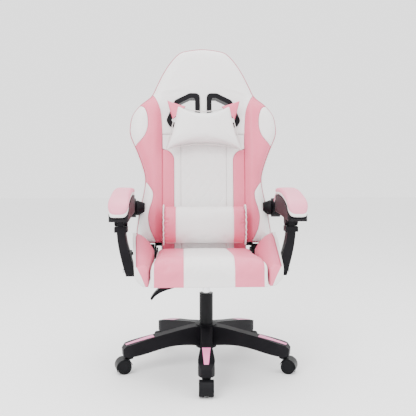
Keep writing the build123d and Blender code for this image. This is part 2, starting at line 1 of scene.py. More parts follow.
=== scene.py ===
"""Gaming chair in pink and white faux leather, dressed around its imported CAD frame."""

from __future__ import annotations

import json
import logging
import math
from dataclasses import dataclass, field
from enum import Enum
from typing import Callable, Sequence

import bmesh
import bpy
import numpy as np
from mathutils import Matrix, Vector


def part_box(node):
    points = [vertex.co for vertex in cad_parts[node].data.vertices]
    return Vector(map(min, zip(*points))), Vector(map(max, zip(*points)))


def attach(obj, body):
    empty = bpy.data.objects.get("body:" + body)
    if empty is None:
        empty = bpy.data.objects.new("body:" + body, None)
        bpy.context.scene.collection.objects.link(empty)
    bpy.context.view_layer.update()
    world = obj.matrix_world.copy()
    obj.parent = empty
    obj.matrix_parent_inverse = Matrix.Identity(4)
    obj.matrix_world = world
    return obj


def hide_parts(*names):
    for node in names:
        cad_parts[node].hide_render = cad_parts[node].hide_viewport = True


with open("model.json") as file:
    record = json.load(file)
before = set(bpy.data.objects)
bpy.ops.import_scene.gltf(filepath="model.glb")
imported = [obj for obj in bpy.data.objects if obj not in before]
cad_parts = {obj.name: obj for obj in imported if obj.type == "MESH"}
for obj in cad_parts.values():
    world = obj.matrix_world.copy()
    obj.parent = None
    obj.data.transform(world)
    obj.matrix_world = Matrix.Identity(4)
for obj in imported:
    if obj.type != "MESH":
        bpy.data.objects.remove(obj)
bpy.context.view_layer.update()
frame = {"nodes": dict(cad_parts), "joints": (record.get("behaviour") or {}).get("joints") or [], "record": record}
LOG = logging.getLogger("gaming_chair")

MM = 0.001
Colour = tuple[float, float, float]
Spots = Sequence[tuple[float, float]]
Placing = Callable[[np.ndarray, np.ndarray], np.ndarray]


class Side(Enum):
    """The sitter's left (+X) or right (-X)."""

    LEFT = 1
    RIGHT = -1

    @property
    def word(self) -> str:
        """Name ending of the pieces on this side."""
        return self.name.lower()


class Cover(Enum):
    """Which leather a face of a two-colour piece is cut from."""

    PINK = 0
    WHITE = 1
    UNDERSIDE = 2


# --- number helpers ----------------------------------------------------------------------------


def smooth_step(x: np.ndarray) -> np.ndarray:
    """0 below x = 0, 1 above x = 1, and an S-curve between."""
    x = np.clip(x, 0.0, 1.0)
    return x * x * (3.0 - 2.0 * x)


def quarter_round(x: np.ndarray) -> np.ndarray:
    """Height of a rounded edge: 0 at x = 0, and 1 from x = 1 on."""
    return np.sqrt(1.0 - (1.0 - np.clip(x, 0.0, 1.0)) ** 2)


def smooth_line(points: Spots, steps: int = 10) -> np.ndarray:
    """A smooth line through points.

    Args:
        points: the points that the line passes through.
        steps: how many samples each stretch between two points gets.

    Returns:
        The samples, one row each.
    """
    p = np.array(points, float)
    p = np.vstack([2 * p[0] - p[1], p, 2 * p[-1] - p[-2]])
    t = np.linspace(0, 1, steps, endpoint=False)[:, None]
    parts = [
        0.5 * (2 * b + (c - a) * t + (2 * a - 5 * b + 4 * c - d) * t**2 + (3 * b - a - 3 * c + d) * t**3)
        for a, b, c, d in zip(p, p[1:], p[2:], p[3:])
    ]
    return np.vstack([*parts, p[-2]])


def distance_to_line(spots: np.ndarray, line: np.ndarray) -> np.ndarray:
    """Shortest distance from each spot to an open line of straight runs.

    Args:
        spots: N x 2 points.
        line: M x 2 corners of the line.

    Returns:
        N distances.
    """
    best = np.full(len(spots), np.inf)
    for a, b in zip(line, line[1:]):
        run = b - a
        along = np.clip((spots - a) @ run / max(run @ run, 1e-12), 0, 1)
        best = np.minimum(best, np.linalg.norm(spots - a - along[:, None] * run, axis=1))
    return best


def ridge(u: np.ndarray, v: np.ndarray, at: tuple[float, float], turn: float, length: float,
          width: float) -> np.ndarray:
    """A soft fold of height 1 in a covering.

    Args:
        u: places across.
        v: places up.
        at: the fold's middle.
        turn: its direction in degrees.
        length: half length.
        width: half width.

    Returns:
        The height at each place.
    """
    c, s = math.cos(math.radians(turn)), math.sin(math.radians(turn))
    along = (u - at[0]) * c + (v - at[1]) * s
    across = (v - at[1]) * c - (u - at[0]) * s
    return np.exp(-((along / length) ** 2)) * np.exp(-((across / width) ** 2))


def diamond_grooves(u: np.ndarray, v: np.ndarray, wide: float, high: float, width: float) -> np.ndarray:
    """Depth, 0 to 1, of a diamond quilt's stitched grooves.

    Args:
        u: places across.
        v: places up.
        wide: a diamond's width.
        high: a diamond's height.
        width: half width of a groove, in diamonds.

    Returns:
        The depth at each place.
    """
    first, second = u / wide + v / high, u / wide - v / high
    near = [np.abs((line + 0.5) % 1.0 - 0.5) for line in (first, second)]
    return np.exp(-((near[0] / width) ** 2)) + np.exp(-((near[1] / width) ** 2))


# --- finishes ----------------------------------------------------------------------------------


class NodeBench:
    """Lays out the nodes of one material."""

    def __init__(self, name: str) -> None:
        """Start a material with a Principled shader."""
        self.material = bpy.data.materials.new(name)
        self.material.use_nodes = True
        self.tree = self.material.node_tree
        self.shader = self.tree.nodes["Principled BSDF"]

    def add(self, kind: str, **settings: object) -> bpy.types.Node:
        """Add a node.

        Args:
            kind: Blender's name of the node type.
            settings: the node's properties, by name.

        Returns:
            The node.
        """
        node = self.tree.nodes.new(kind)
        for key, value in settings.items():
            setattr(node, key, value)
        return node

    def wire(self, source: bpy.types.NodeSocket, target: bpy.types.NodeSocket) -> None:
        """Join two sockets."""
        self.tree.links.new(source, target)

    def texture(self, kind: str, scale: float, **inputs: float) -> bpy.types.Node:
        """Add a texture on the object's own coordinates.

        Args:
            kind: Blender's name of the texture node.
            scale: features per metre.
            inputs: further input values, by socket name.

        Returns:
            The texture node.
        """
        place = self.add("ShaderNodeTexCoord")
        node = self.add(kind)
        node.inputs["Scale"].default_value = scale
        for key, value in inputs.items():
            node.inputs[key].default_value = value
        self.wire(place.outputs["Object"], node.inputs["Vector"])
        return node

    def span(self, source: bpy.types.NodeSocket, low: float, high: float,
             start: float = 0.0, end: float = 1.0) -> bpy.types.NodeSocket:
        """Map a value from start..end to low..high.

        Args:
            source: the value.
            low: result at start.
            high: result at end.
            start: input that gives low.
            end: input that gives high.

        Returns:
            The mapped value.
        """
        node = self.add("ShaderNodeMapRange")
        self.wire(source, node.inputs["Value"])
        for key, value in zip(("From Min", "From Max", "To Min", "To Max"), (start, end, low, high)):
            node.inputs[key].default_value = value
        return node.outputs["Result"]

    def mix(self, factor: bpy.types.NodeSocket, first: Colour, second: Colour) -> bpy.types.NodeSocket:
        """Blend two colours by a factor.

        Args:
            factor: 0 for the first colour, 1 for the second.
            first: linear RGB.
            second: linear RGB.

        Returns:
            The blended colour.
        """
        node = self.add("ShaderNodeMix", data_type="RGBA")
        self.wire(factor, node.inputs["Factor"])
        colours = [socket for socket in node.inputs if socket.type == "RGBA"]
        for socket, colour in zip(colours, (first, second)):
            socket.default_value = (*colour, 1.0)
        return next(socket for socket in node.outputs if socket.type == "RGBA")

    def bump(self, height: bpy.types.NodeSocket, distance: float, strength: float,
             under: bpy.types.NodeSocket | None = None) -> bpy.types.NodeSocket:
        """Raise the surface by a height.

        Args:
            height: the height, 0 to 1.
            distance: what 1 stands for, in metres.
            strength: how much of it shows.
            under: a coarser bump's normal to lie on.

        Returns:
            The bumped normal.
        """
        node = self.add("ShaderNodeBump")
        node.inputs["Distance"].default_value = distance
        node.inputs["Strength"].default_value = strength
        self.wire(height, node.inputs["Height"])
        if under is not None:
            self.wire(under, node.inputs["Normal"])
        return node.outputs["Normal"]


@dataclass(frozen=True)
class Leather:
    """Faux leather: pebbled grain, soft creases, a satin top coat."""

    name: str
    colour: Colour
    shade: Colour
    roughness: float = 0.42
    grain: float = 1.1 * MM
    trim: Colour | None = None

    def make(self) -> bpy.types.Material:
        """Build the material; with a trim colour, the attribute "band" picks where it shows."""
        bench = NodeBench(self.name)
        cloud = bench.texture("ShaderNodeTexNoise", 9.0, Detail=4.0, Roughness=0.55)
        mottle = bench.texture("ShaderNodeTexNoise", 160.0, Detail=3.0, Roughness=0.6)
        pebble = bench.texture("ShaderNodeTexVoronoi", 1.0 / self.grain, Randomness=1.0)
        crease = bench.texture("ShaderNodeTexNoise", 46.0, Detail=5.0, Roughness=0.62, Distortion=1.4)
        tone = bench.add("ShaderNodeMath", operation="MULTIPLY_ADD")
        bench.wire(cloud.outputs["Fac"], tone.inputs[0])
        tone.inputs[1].default_value = 0.7
        bench.wire(bench.span(mottle.outputs["Fac"], 0.0, 0.3), tone.inputs[2])
        factor = bench.span(tone.outputs["Value"], 0.0, 1.0, 0.3, 0.72)
        colour = bench.mix(factor, self.colour, self.shade)
        if self.trim is not None:
            band = bench.add("ShaderNodeAttribute", attribute_name="band")
            edge = bench.span(band.outputs["Fac"], 0.0, 1.0, -0.25 * MM, 0.25 * MM)
            join = bench.add("ShaderNodeMix", data_type="RGBA")
            sockets = [socket for socket in join.inputs if socket.type == "RGBA"]
            bench.wire(edge, join.inputs["Factor"])
            bench.wire(colour, sockets[0])
            bench.wire(bench.mix(factor, self.trim, tuple(0.93 * c for c in self.trim)), sockets[1])
            colour = next(socket for socket in join.outputs if socket.type == "RGBA")
        bench.wire(colour, bench.shader.inputs["Base Color"])
        bench.wire(bench.span(mottle.outputs["Fac"], self.roughness - 0.06, self.roughness + 0.1),
                   bench.shader.inputs["Roughness"])
        soft = bench.bump(crease.outputs["Fac"], 0.9 * MM, 0.35)
        bench.wire(bench.bump(pebble.outputs["Distance"], 0.22 * MM, 0.55, soft),
                   bench.shader.inputs["Normal"])
        bench.shader.inputs["Specular IOR Level"].default_value = 0.42
        bench.shader.inputs["Coat Weight"].default_value = 0.08
        bench.shader.inputs["Coat Roughness"].default_value = 0.35
        return bench.material


@dataclass(frozen=True)
class Plastic:
    """Moulded nylon or ABS with a fine spark-eroded texture."""

    name: str
    colour: Colour
    roughness: float = 0.46
    texture: float = 0.45 * MM
    gloss: float = 0.1

    def make(self) -> bpy.types.Material:
        """Build the material."""
        bench = NodeBench(self.name)
        flow = bench.texture("ShaderNodeTexNoise", 14.0, Detail=3.0, Roughness=0.5)
        grit = bench.texture("ShaderNodeTexNoise", 1.0 / self.texture, Detail=2.0, Roughness=0.6)
        lighter = tuple(min(1.0, c * 1.2 + 0.001) for c in self.colour)
        bench.wire(bench.mix(bench.span(flow.outputs["Fac"], 0.0, 1.0, 0.35, 0.7), self.colour, lighter),
                   bench.shader.inputs["Base Color"])
        bench.wire(bench.span(flow.outputs["Fac"], self.roughness - 0.07, self.roughness + 0.09),
                   bench.shader.inputs["Roughness"])
        bench.wire(bench.bump(grit.outputs["Fac"], 0.12 * MM, 0.4), bench.shader.inputs["Normal"])
        bench.shader.inputs["Specular IOR Level"].default_value = self.gloss
        return bench.material


@dataclass(frozen=True)
class Metal:
    """Steel: plated, polished or powder coated."""

    name: str
    colour: Colour
    roughness: float
    metallic: float = 1.0
    gloss: float = 0.5

    def make(self) -> bpy.types.Material:
        """Build the material."""
        bench = NodeBench(self.name)
        haze = bench.texture("ShaderNodeTexNoise", 60.0, Detail=4.0, Roughness=0.6)
        worn = tuple(0.86 * c for c in self.colour)
        bench.wire(bench.mix(bench.span(haze.outputs["Fac"], 0.0, 1.0, 0.4, 0.75), self.colour, worn),
                   bench.shader.inputs["Base Color"])
        bench.wire(bench.span(haze.outputs["Fac"], self.roughness * 0.8, self.roughness * 1.3),
                   bench.shader.inputs["Roughness"])
        bench.shader.inputs["Metallic"].default_value = self.metallic
        bench.shader.inputs["Specular IOR Level"].default_value = self.gloss
        return bench.material


@dataclass(frozen=True)
class Webbing:
    """Woven cloth or elastic: a fine plain weave."""

    name: str
    colour: Colour
    thread: float = 0.7 * MM

    def make(self) -> bpy.types.Material:
        """Build the material."""
        bench = NodeBench(self.name)
        weave = [bench.add("ShaderNodeTexWave", bands_direction=axis) for axis in ("X", "Z")]
        place = bench.add("ShaderNodeTexCoord")
        for node in weave:
            node.inputs["Scale"].default_value = 0.32 / self.thread
            bench.wire(place.outputs["Object"], node.inputs["Vector"])
        cross = bench.add("ShaderNodeMath", operation="MULTIPLY")
        for node, socket in zip(weave, cross.inputs):
            bench.wire(node.outputs["Fac"], socket)
        lighter = tuple(min(1.0, c * 1.7 + 0.01) for c in self.colour)
        bench.wire(bench.mix(cross.outputs["Value"], self.colour, lighter), bench.shader.inputs["Base Color"])
        bench.wire(bench.bump(cross.outputs["Value"], 0.25 * MM, 0.6), bench.shader.inputs["Normal"])
        bench.shader.inputs["Roughness"].default_value = 0.85
        return bench.material


WHITE_COLOUR: Colour = (0.78, 0.76, 0.755)
PINK_COLOUR: Colour = (0.72, 0.14, 0.23)


class Wardrobe:
    """Every finish of the chair, made once."""

    def __init__(self) -> None:
        """Make the materials."""
        pink_shade = (0.67, 0.115, 0.195)
        self.white = Leather("white_leather", WHITE_COLOUR, (0.735, 0.72, 0.715)).make()
        self.pink = Leather("pink_leather", PINK_COLOUR, pink_shade).make()
        self.light_pink = Leather("light_pink_leather", (0.74, 0.165, 0.26), (0.70, 0.135, 0.225)).make()
        self.banded = Leather("banded_pad_leather", (0.80, 0.28, 0.39), (0.76, 0.24, 0.35),
                              trim=WHITE_COLOUR).make()
        self.piping = Leather("piping_leather", (0.48, 0.07, 0.13), (0.42, 0.055, 0.11), grain=0.8 * MM).make()
        # Greyish-pink cord for the head pillow's seam: the cord is real, but its colour, darker than the white
        # cover, is painted shade of the seam line.
        self.pillow_piping = Leather("pillow_piping", (0.62, 0.57, 0.56), (0.56, 0.51, 0.50),
                                     grain=0.8 * MM).make()
        self.white_thread = Webbing("white_thread", (0.70, 0.68, 0.67), 0.4 * MM).make()
        self.pink_thread = Webbing("pink_thread", (0.62, 0.23, 0.33), 0.4 * MM).make()
        self.dust_cloth = Webbing("dust_cloth", (0.02, 0.02, 0.022), 1.0 * MM).make()
        nylon = Plastic("black_nylon", (0.005, 0.0045, 0.006)).make()
        self.by_slot: dict[str, bpy.types.Material] = {
            "black_nylon": nylon,
            "caster_plastic": Plastic("caster_plastic", (0.005, 0.005, 0.006), 0.36).make(),
            "pink_insert": Plastic("insert_plastic", (0.82, 0.22, 0.45), 0.3, gloss=0.4).make(),
            "black_steel": Metal("powder_coat", (0.006, 0.006, 0.007), 0.4, 0.0, 0.13).make(),
            "chrome_tube": Metal("chrome", (0.82, 0.82, 0.84), 0.12).make(),
            "bright_steel": Metal("zinc_steel", (0.60, 0.61, 0.63), 0.3).make(),
            "bush_plastic": Plastic("bush_plastic", (0.6, 0.6, 0.58)).make(),
            "elastic_webbing": Webbing("elastic_webbing", (0.02, 0.02, 0.02), 1.2 * MM).make(),
            "white_leather": self.white,
            "pink_leather": self.pink,
        }


# --- piece helpers -----------------------------------------------------------------------------


def mapped_grid(columns: int, rows: int, place: Placing) -> bmesh.types.BMesh:
    """A grid whose vertices are moved to where place puts them.

    Args:
        columns: faces along s.
        rows: faces along t.
        place: gives the N x 3 positions, in metres, for s and t from 0 to 1.

    Returns:
        The mesh, with s and t as its UV map.
    """
    grid = bmesh.new()
    grid.loops.layers.uv.new("UVMap")
    bmesh.ops.create_grid(grid, x_segments=columns, y_segments=rows, size=0.5, calc_uvs=True)
    flat = np.clip(np.array([vert.co[:2] for vert in grid.verts]) + 0.5, 0.0, 1.0)
    for vert, spot in zip(grid.verts, place(flat[:, 0], flat[:, 1])):
        vert.co = spot
    bmesh.ops.remove_doubles(grid, verts=grid.verts, dist=0.05 * MM)
    bmesh.ops.dissolve_degenerate(grid, dist=0.02 * MM, edges=grid.edges)
    return grid


def make_object(name: str, mesh: bmesh.types.BMesh, finishes: Sequence[bpy.types.Material]) -> bpy.types.Object:
    """Turn a mesh into an object in the scene.

    Args:
        name: the piece's name.
        mesh: its shape, freed afterwards.
        finishes: its materials, in slot order.

    Returns:
        The object.
    """
    data = bpy.data.meshes.new(name)
    mesh.to_mesh(data)
    mesh.free()
    for finish in finishes:
        data.materials.append(finish)
    data.shade_smooth()
    piece = bpy.data.objects.new(name, data)
    bpy.context.scene.collection.objects.link(piece)
    return piece


def register(piece: bpy.types.Object, body: str) -> bpy.types.Object:
    """Let a piece ride on a body."""
    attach(piece, body)
    return piece


def thicken(piece: bpy.types.Object, thickness: float) -> None:
    """Give a sheet its thickness, behind its outer face."""
    wall = piece.modifiers.new("thickness", "SOLIDIFY")
    wall.thickness = thickness
    wall.offset = -1.0
    wall.use_even_offset = False


def cord_tube(name: str, path: np.ndarray, radius: float, finish: bpy.types.Material,
              cyclic: bool = False) -> bpy.types.Object:
    """A round piping cord along a path.

    Args:
        name: the piece's name.
        path: N x 3 points in metres.
        radius: the cord's radius.
        finish: its material.
        cyclic: whether its ends join.

    Returns:
        The mesh object.
    """
    curve = bpy.data.curves.new(name + "_path", "CURVE")
    curve.dimensions = "3D"
    curve.bevel_depth = radius
    curve.bevel_resolution = 2
    curve.use_fill_caps = True
    spline = curve.splines.new("POLY")
    spline.points.add(len(path) - 1)
    for point, spot in zip(spline.points, path):
        point.co = (*spot, 1.0)
    spline.use_cyclic_u = cyclic
    guide = bpy.data.objects.new(name + "_guide", curve)
    bpy.context.scene.collection.objects.link(guide)
    bpy.context.view_layer.update()
    data = bpy.data.meshes.new_from_object(guide.evaluated_get(bpy.context.evaluated_depsgraph_get()))
    bpy.data.objects.remove(guide)
    data.name = name
    data.materials.clear()
    data.materials.append(finish)
    data.shade_smooth()
    piece = bpy.data.objects.new(name, data)
    bpy.context.scene.collection.objects.link(piece)
    return piece


def even_steps(path: np.ndarray, step: float) -> np.ndarray:
    """Points at equal steps along a path."""
    runs = np.linalg.norm(np.diff(path, axis=0), axis=1)
    along = np.concatenate([[0], np.cumsum(runs)])
    marks = np.linspace(0, along[-1], max(int(along[-1] / step), 2))
    return np.stack([np.interp(marks, along, path[:, i]) for i in range(path.shape[1])], axis=1)


def stitch_row(name: str, paths: Sequence[np.ndarray], finish: bpy.types.Material,
               pitch: float = 5.5 * MM, thickness: float = 0.55 * MM) -> bpy.types.Object:
    """Rows of thread stitches.

    Args:
        name: the piece's name.
        paths: N x 3 lines that the stitches follow.
        finish: the thread.
        pitch: distance from stitch to stitch.
        thickness: the thread's radius.

    Returns:
        The object.
    """
    rows = bmesh.new()
    for path in paths:
        marks = even_steps(path, pitch)
        for start, end in zip(marks, marks[1:]):
            along = Vector(end - start)
            if along.length < 1e-6:
                continue
            turn = along.to_track_quat("X", "Z").to_matrix().to_4x4()
            shape = Matrix.Diagonal((along.length * 0.36, thickness, thickness, 1.0))
            place = Matrix.Translation(Vector((start + end) / 2)) @ turn @ shape
            bmesh.ops.create_icosphere(rows, subdivisions=1, radius=1.0, matrix=place)
    return make_object(name, rows, [finish])


def grow_vertices(mesh: bpy.types.Mesh, amount: np.ndarray) -> None:
    """Move each vertex along its normal by its own amount."""
    count = len(mesh.vertices)
    spots, normals = np.empty(count * 3), np.empty(count * 3)
    mesh.vertices.foreach_get("co", spots)
    mesh.vertices.foreach_get("normal", normals)
    moved = spots.reshape(-1, 3) + normals.reshape(-1, 3) * amount[:, None]
    mesh.vertices.foreach_set("co", moved.ravel())
    mesh.update()


def vertex_spots(mesh: bpy.types.Mesh) -> np.ndarray:
    """The N x 3 vertex positions of a mesh."""
    spots = np.empty(len(mesh.vertices) * 3)
    mesh.vertices.foreach_get("co", spots)
    return spots.reshape(-1, 3)


def cut_and_colour(piece: bpy.types.Object, planes: Sequence[tuple[Vector, Vector]],
                   pick: Callable[[Vector, Vector], Cover]) -> None:
    """Cut a piece's faces along seam planes, and give each face its leather.

    Args:
        piece: the object, with one material slot per Cover.
        planes: a point and a normal for each seam.
        pick: the leather for a face, from its middle and its normal.
    """
    mesh = bmesh.new()
    mesh.from_mesh(piece.data)
    for point, normal in planes:
        everything = list(mesh.verts) + list(mesh.edges) + list(mesh.faces)
        bmesh.ops.bisect_plane(mesh, geom=everything, dist=0.01 * MM, plane_co=point, plane_no=normal)
    for face in mesh.faces:
        face.material_index = pick(face.calc_center_median(), face.normal).value
    mesh.to_mesh(piece.data)
    mesh.free()
    piece.data.shade_smooth()


@dataclass(frozen=True)
class Stuffing:
    """Foam that fills a sewn cover: the cover swells under pressure, as far as its cap."""

    voxel: float = 5.0 * MM
    pressure: float = 4.0
    cap: float = 9.0 * MM
    frames: int = 20
    tension: float = 15.0

    def remesh(self, piece: bpy.types.Object) -> None:
        """Give the piece an even mesh."""
        with bpy.context.temp_override(object=piece, active_object=piece, selected_objects=[piece],
                                       selected_editable_objects=[piece]):
            piece.data.remesh_voxel_size = self.voxel
            bpy.ops.object.voxel_remesh()

    def fill(self, piece: bpy.types.Object, hold: Callable[[np.ndarray], np.ndarray] | None = None) -> None:
        """Blow the cover up with cloth simulation, and refine it.

        Args:
            piece: the object, slightly smaller than the finished cushion.
            hold: share of the swelling, 0 to 1, that each start position may take.
        """
        self.remesh(piece)
        start = vertex_spots(piece.data)
        end = self.simulate(piece)
        move = end - start
        length = np.linalg.norm(move, axis=1)
        share = np.ones(len(start)) if hold is None else hold(start)
        limit = self.cap * share
        move *= (limit * np.tanh(length / np.maximum(limit, 1e-9)) / np.maximum(length, 1e-9))[:, None]
        piece.data.vertices.foreach_set("co", (start + move).ravel())
        piece.data.update()
        mesh = bmesh.new()
        mesh.from_mesh(piece.data)
        for _ in range(3):
            bmesh.ops.smooth_vert(mesh, verts=mesh.verts, factor=0.5, use_axis_x=True, use_axis_y=True,
                                  use_axis_z=True)
        bmesh.ops.subdivide_edges(mesh, edges=mesh.edges, cuts=1, use_grid_fill=True, smooth=1.0)
        mesh.to_mesh(piece.data)
        mesh.free()
        piece.data.shade_smooth()

    def simulate(self, piece: bpy.types.Object) -> np.ndarray:
        """Run the cloth simulation.

        Args:
            piece: the remeshed cover.

        Returns:
            Where its vertices end.
        """
        cloth = piece.modifiers.new("filling", "CLOTH")
        cloth.settings.quality = 5
        cloth.settings.use_pressure = True
        cloth.settings.uniform_pressure_force = self.pressure
        cloth.settings.effector_weights.gravity = 0.0
        cloth.settings.tension_stiffness = self.tension
        cloth.settings.compression_stiffness = self.tension
        cloth.settings.bending_stiffness = 0.6
        cloth.point_cache.frame_start = 1
        cloth.point_cache.frame_end = self.frames
        scene = bpy.context.scene
        for step in range(1, self.frames + 1):
            scene.frame_set(step)
        result = piece.evaluated_get(bpy.context.evaluated_depsgraph_get())
        end = vertex_spots(result.data)
        piece.modifiers.remove(cloth)
        scene.frame_set(1)
        return end


# --- backrest ----------------------------------------------------------------------------------


@dataclass
class BackShape:
    """The backrest's own leaning plane: u across, v up, n forward, in millimetres."""

    lean: float = 10.0
    side: Spots = ((0, 845), (72, 836), (104, 821), (138, 782), (168, 733), (191, 685), (213, 642),
                   (256, 606), (290, 562), (304, 510), (303, 478), (293, 450), (272, 401), (249, 335),
                   (242, 290), (250, 232), (264, 172), (269, 130), (275, 90), (270, 60), (248, 42))
    hole: Spots = ((14, 508), (14, 650), (56, 650), (116, 620), (151, 536), (136, 508))
    foot: float = 42.0
    heel: float = 9.0
    heel_half: float = 171.0
    edge_n: float = 5.0
    edge_roll: float = 46.0
    centre_n: float = 28.0
    bolster_rise: float = 17.0
    bolster_seam: float = 166.0
    seam_depth: float = 3.6
    seam_roll: float = 10.0

    def __post_init__(self) -> None:
        """Work out the outline and the front edge from the side points."""
        hinge = next(joint for joint in frame["joints"] if joint["name"] == "back_recline")
        self.origin = np.array(hinge["pos_m"]) / MM
        angle = math.radians(self.lean)
        self.up = np.array((0.0, math.sin(angle), math.cos(angle)))
        self.forward = np.array((0.0, -math.cos(angle), math.sin(angle)))
        steps = 10
        crown = (-self.side[1][0], self.side[1][1])
        self.outline = smooth_line([crown, *self.side], steps)[steps:]
        self.outward = self.normals(self.outline)
        self.front_edge = self.outline - self.outward * self.inset(self.outline[:, 1])[:, None]

    @staticmethod
    def normals(line: np.ndarray) -> np.ndarray:
        """Outward directions along a line that runs from the crown down the sitter's left side."""
        run = np.gradient(line, axis=0)
        run /= np.maximum(np.linalg.norm(run, axis=1), 1e-9)[:, None]
        return np.stack([-run[:, 1], run[:, 0]], axis=1)

    @staticmethod
    def inset(v: np.ndarray) -> np.ndarray:
        """How far the front edge lies inside the outline: more below the shoulders."""
        return 2.5 + 6.0 * (1 - smooth_step((v - 470) / 120))

    def point(self, u: np.ndarray, v: np.ndarray, n: np.ndarray) -> np.ndarray:
        """Positions in metres for places u, v, n."""
        spots = self.origin + np.outer(v, self.up) + np.outer(n, self.forward)
        spots[:, 0] += u
        return spots * MM

    def flat(self, spot: Vector) -> tuple[float, float]:
        """The u and v of a position in metres."""
        rel = np.array(spot) / MM - self.origin
        return float(rel[0]), float(rel @ self.up)

    def half_width(self, v: np.ndarray, edge: np.ndarray | None = None) -> np.ndarray:
        """Half width of the front, or of another edge line, at height v."""
        line = self.front_edge if edge is None else edge
        return np.interp(v, line[::-1, 1], line[::-1, 0])

    def front(self, u: np.ndarray, v: np.ndarray) -> np.ndarray:
        """Height n of the covered front at places u, v."""
        a = np.abs(u)
        rise = smooth_step((a - self.bolster_seam + 6) / 40) * (1 - smooth_step((v - 560) / 100))
        full = self.centre_n + self.bolster_rise * rise
        full += 3.0 * np.exp(-((v - 730) / 70) ** 2 - (u / 110) ** 2)
        distance = distance_to_line(np.stack([a, v], axis=1), self.front_edge)
        distance = np.minimum(distance, v - np.where(a < self.heel_half, self.heel, self.foot) + 4)
        n = self.edge_n + (full - self.edge_n) * quarter_round(distance / self.edge_roll)
        return n + self.folds(u, v)

    @staticmethod
    def folds(u: np.ndarray, v: np.ndarray) -> np.ndarray:
        """Soft folds that pull away from the openings and round the shoulders."""
        places = (
            (-132, 664, 8, 44, 5, 1.9), (-118, 652, 14, 30, 4, -1.3), (133, 662, -14, 46, 5, 1.9),
            (150, 645, -22, 34, 4, -1.3), (-60, 682, 4, 34, 6, 0.9), (70, 684, -4, 36, 6, 0.8),
            (-283, 520, 6, 16, 4, 1.2), (-280, 494, -4, 18, 4, 1.1), (283, 512, -8, 16, 4, 0.9),
            (-195, 430, 84, 60, 7, 0.9), (200, 420, -84, 60, 7, 0.9), (0, 672, 90, 16, 6, -0.8),
            (-205, 120, 60, 40, 6, 1.0), (207, 118, -60, 40, 6, 1.0),
        )
        total = np.zeros_like(u)
        for x, y, turn, length, width, height in places:
            total += height * ridge(u, v, (x, y), turn, length, width)
        return total

    def rear(self, u: np.ndarray, v: np.ndarray) -> np.ndarray:
        """Height n of the rear cover at places u, v."""
        a = np.abs(u)
        crown = 2.0 * np.exp(-((a / 170) ** 2)) + 1.2 * np.exp(-(((v - 620) / 120) ** 2))
        long_seam = 2.2 * np.exp(-(((a - 118) / 3.0) ** 2)) * (v < 470)
        yoke = 2.2 * np.exp(-(((v - 470 + 18 * (a / 200) ** 2) / 3.0) ** 2))
        return -(44.5 + crown - long_seam - yoke)

    def in_hole(self, u: float, v: float, margin: float) -> bool:
        """Whether a place is inside a head opening's outline by more than margin."""
        corners = np.array(self.hole, float)
        ahead = np.roll(corners, -1, axis=0)
        run = ahead - corners
        rel = np.array((abs(u), v)) - corners
        depth = (rel[:, 1] * -run[:, 0] + rel[:, 0] * run[:, 1]) / np.linalg.norm(run, axis=1)
        return bool(np.all(depth > margin))


@dataclass
class Panel:
    """One cut piece of the backrest's cover, between two edge lines u(v)."""

    name: str
    low: float
    high: float
    inner: Callable[[np.ndarray], np.ndarray]
    outer: Callable[[np.ndarray], np.ndarray]
    tuck_inner: bool = True
    tuck_outer: bool = True
    tuck_low: bool = False
    tuck_high: bool = False
    crown_end: bool = False
    step: float = 4.0
    puff: float = 1.6


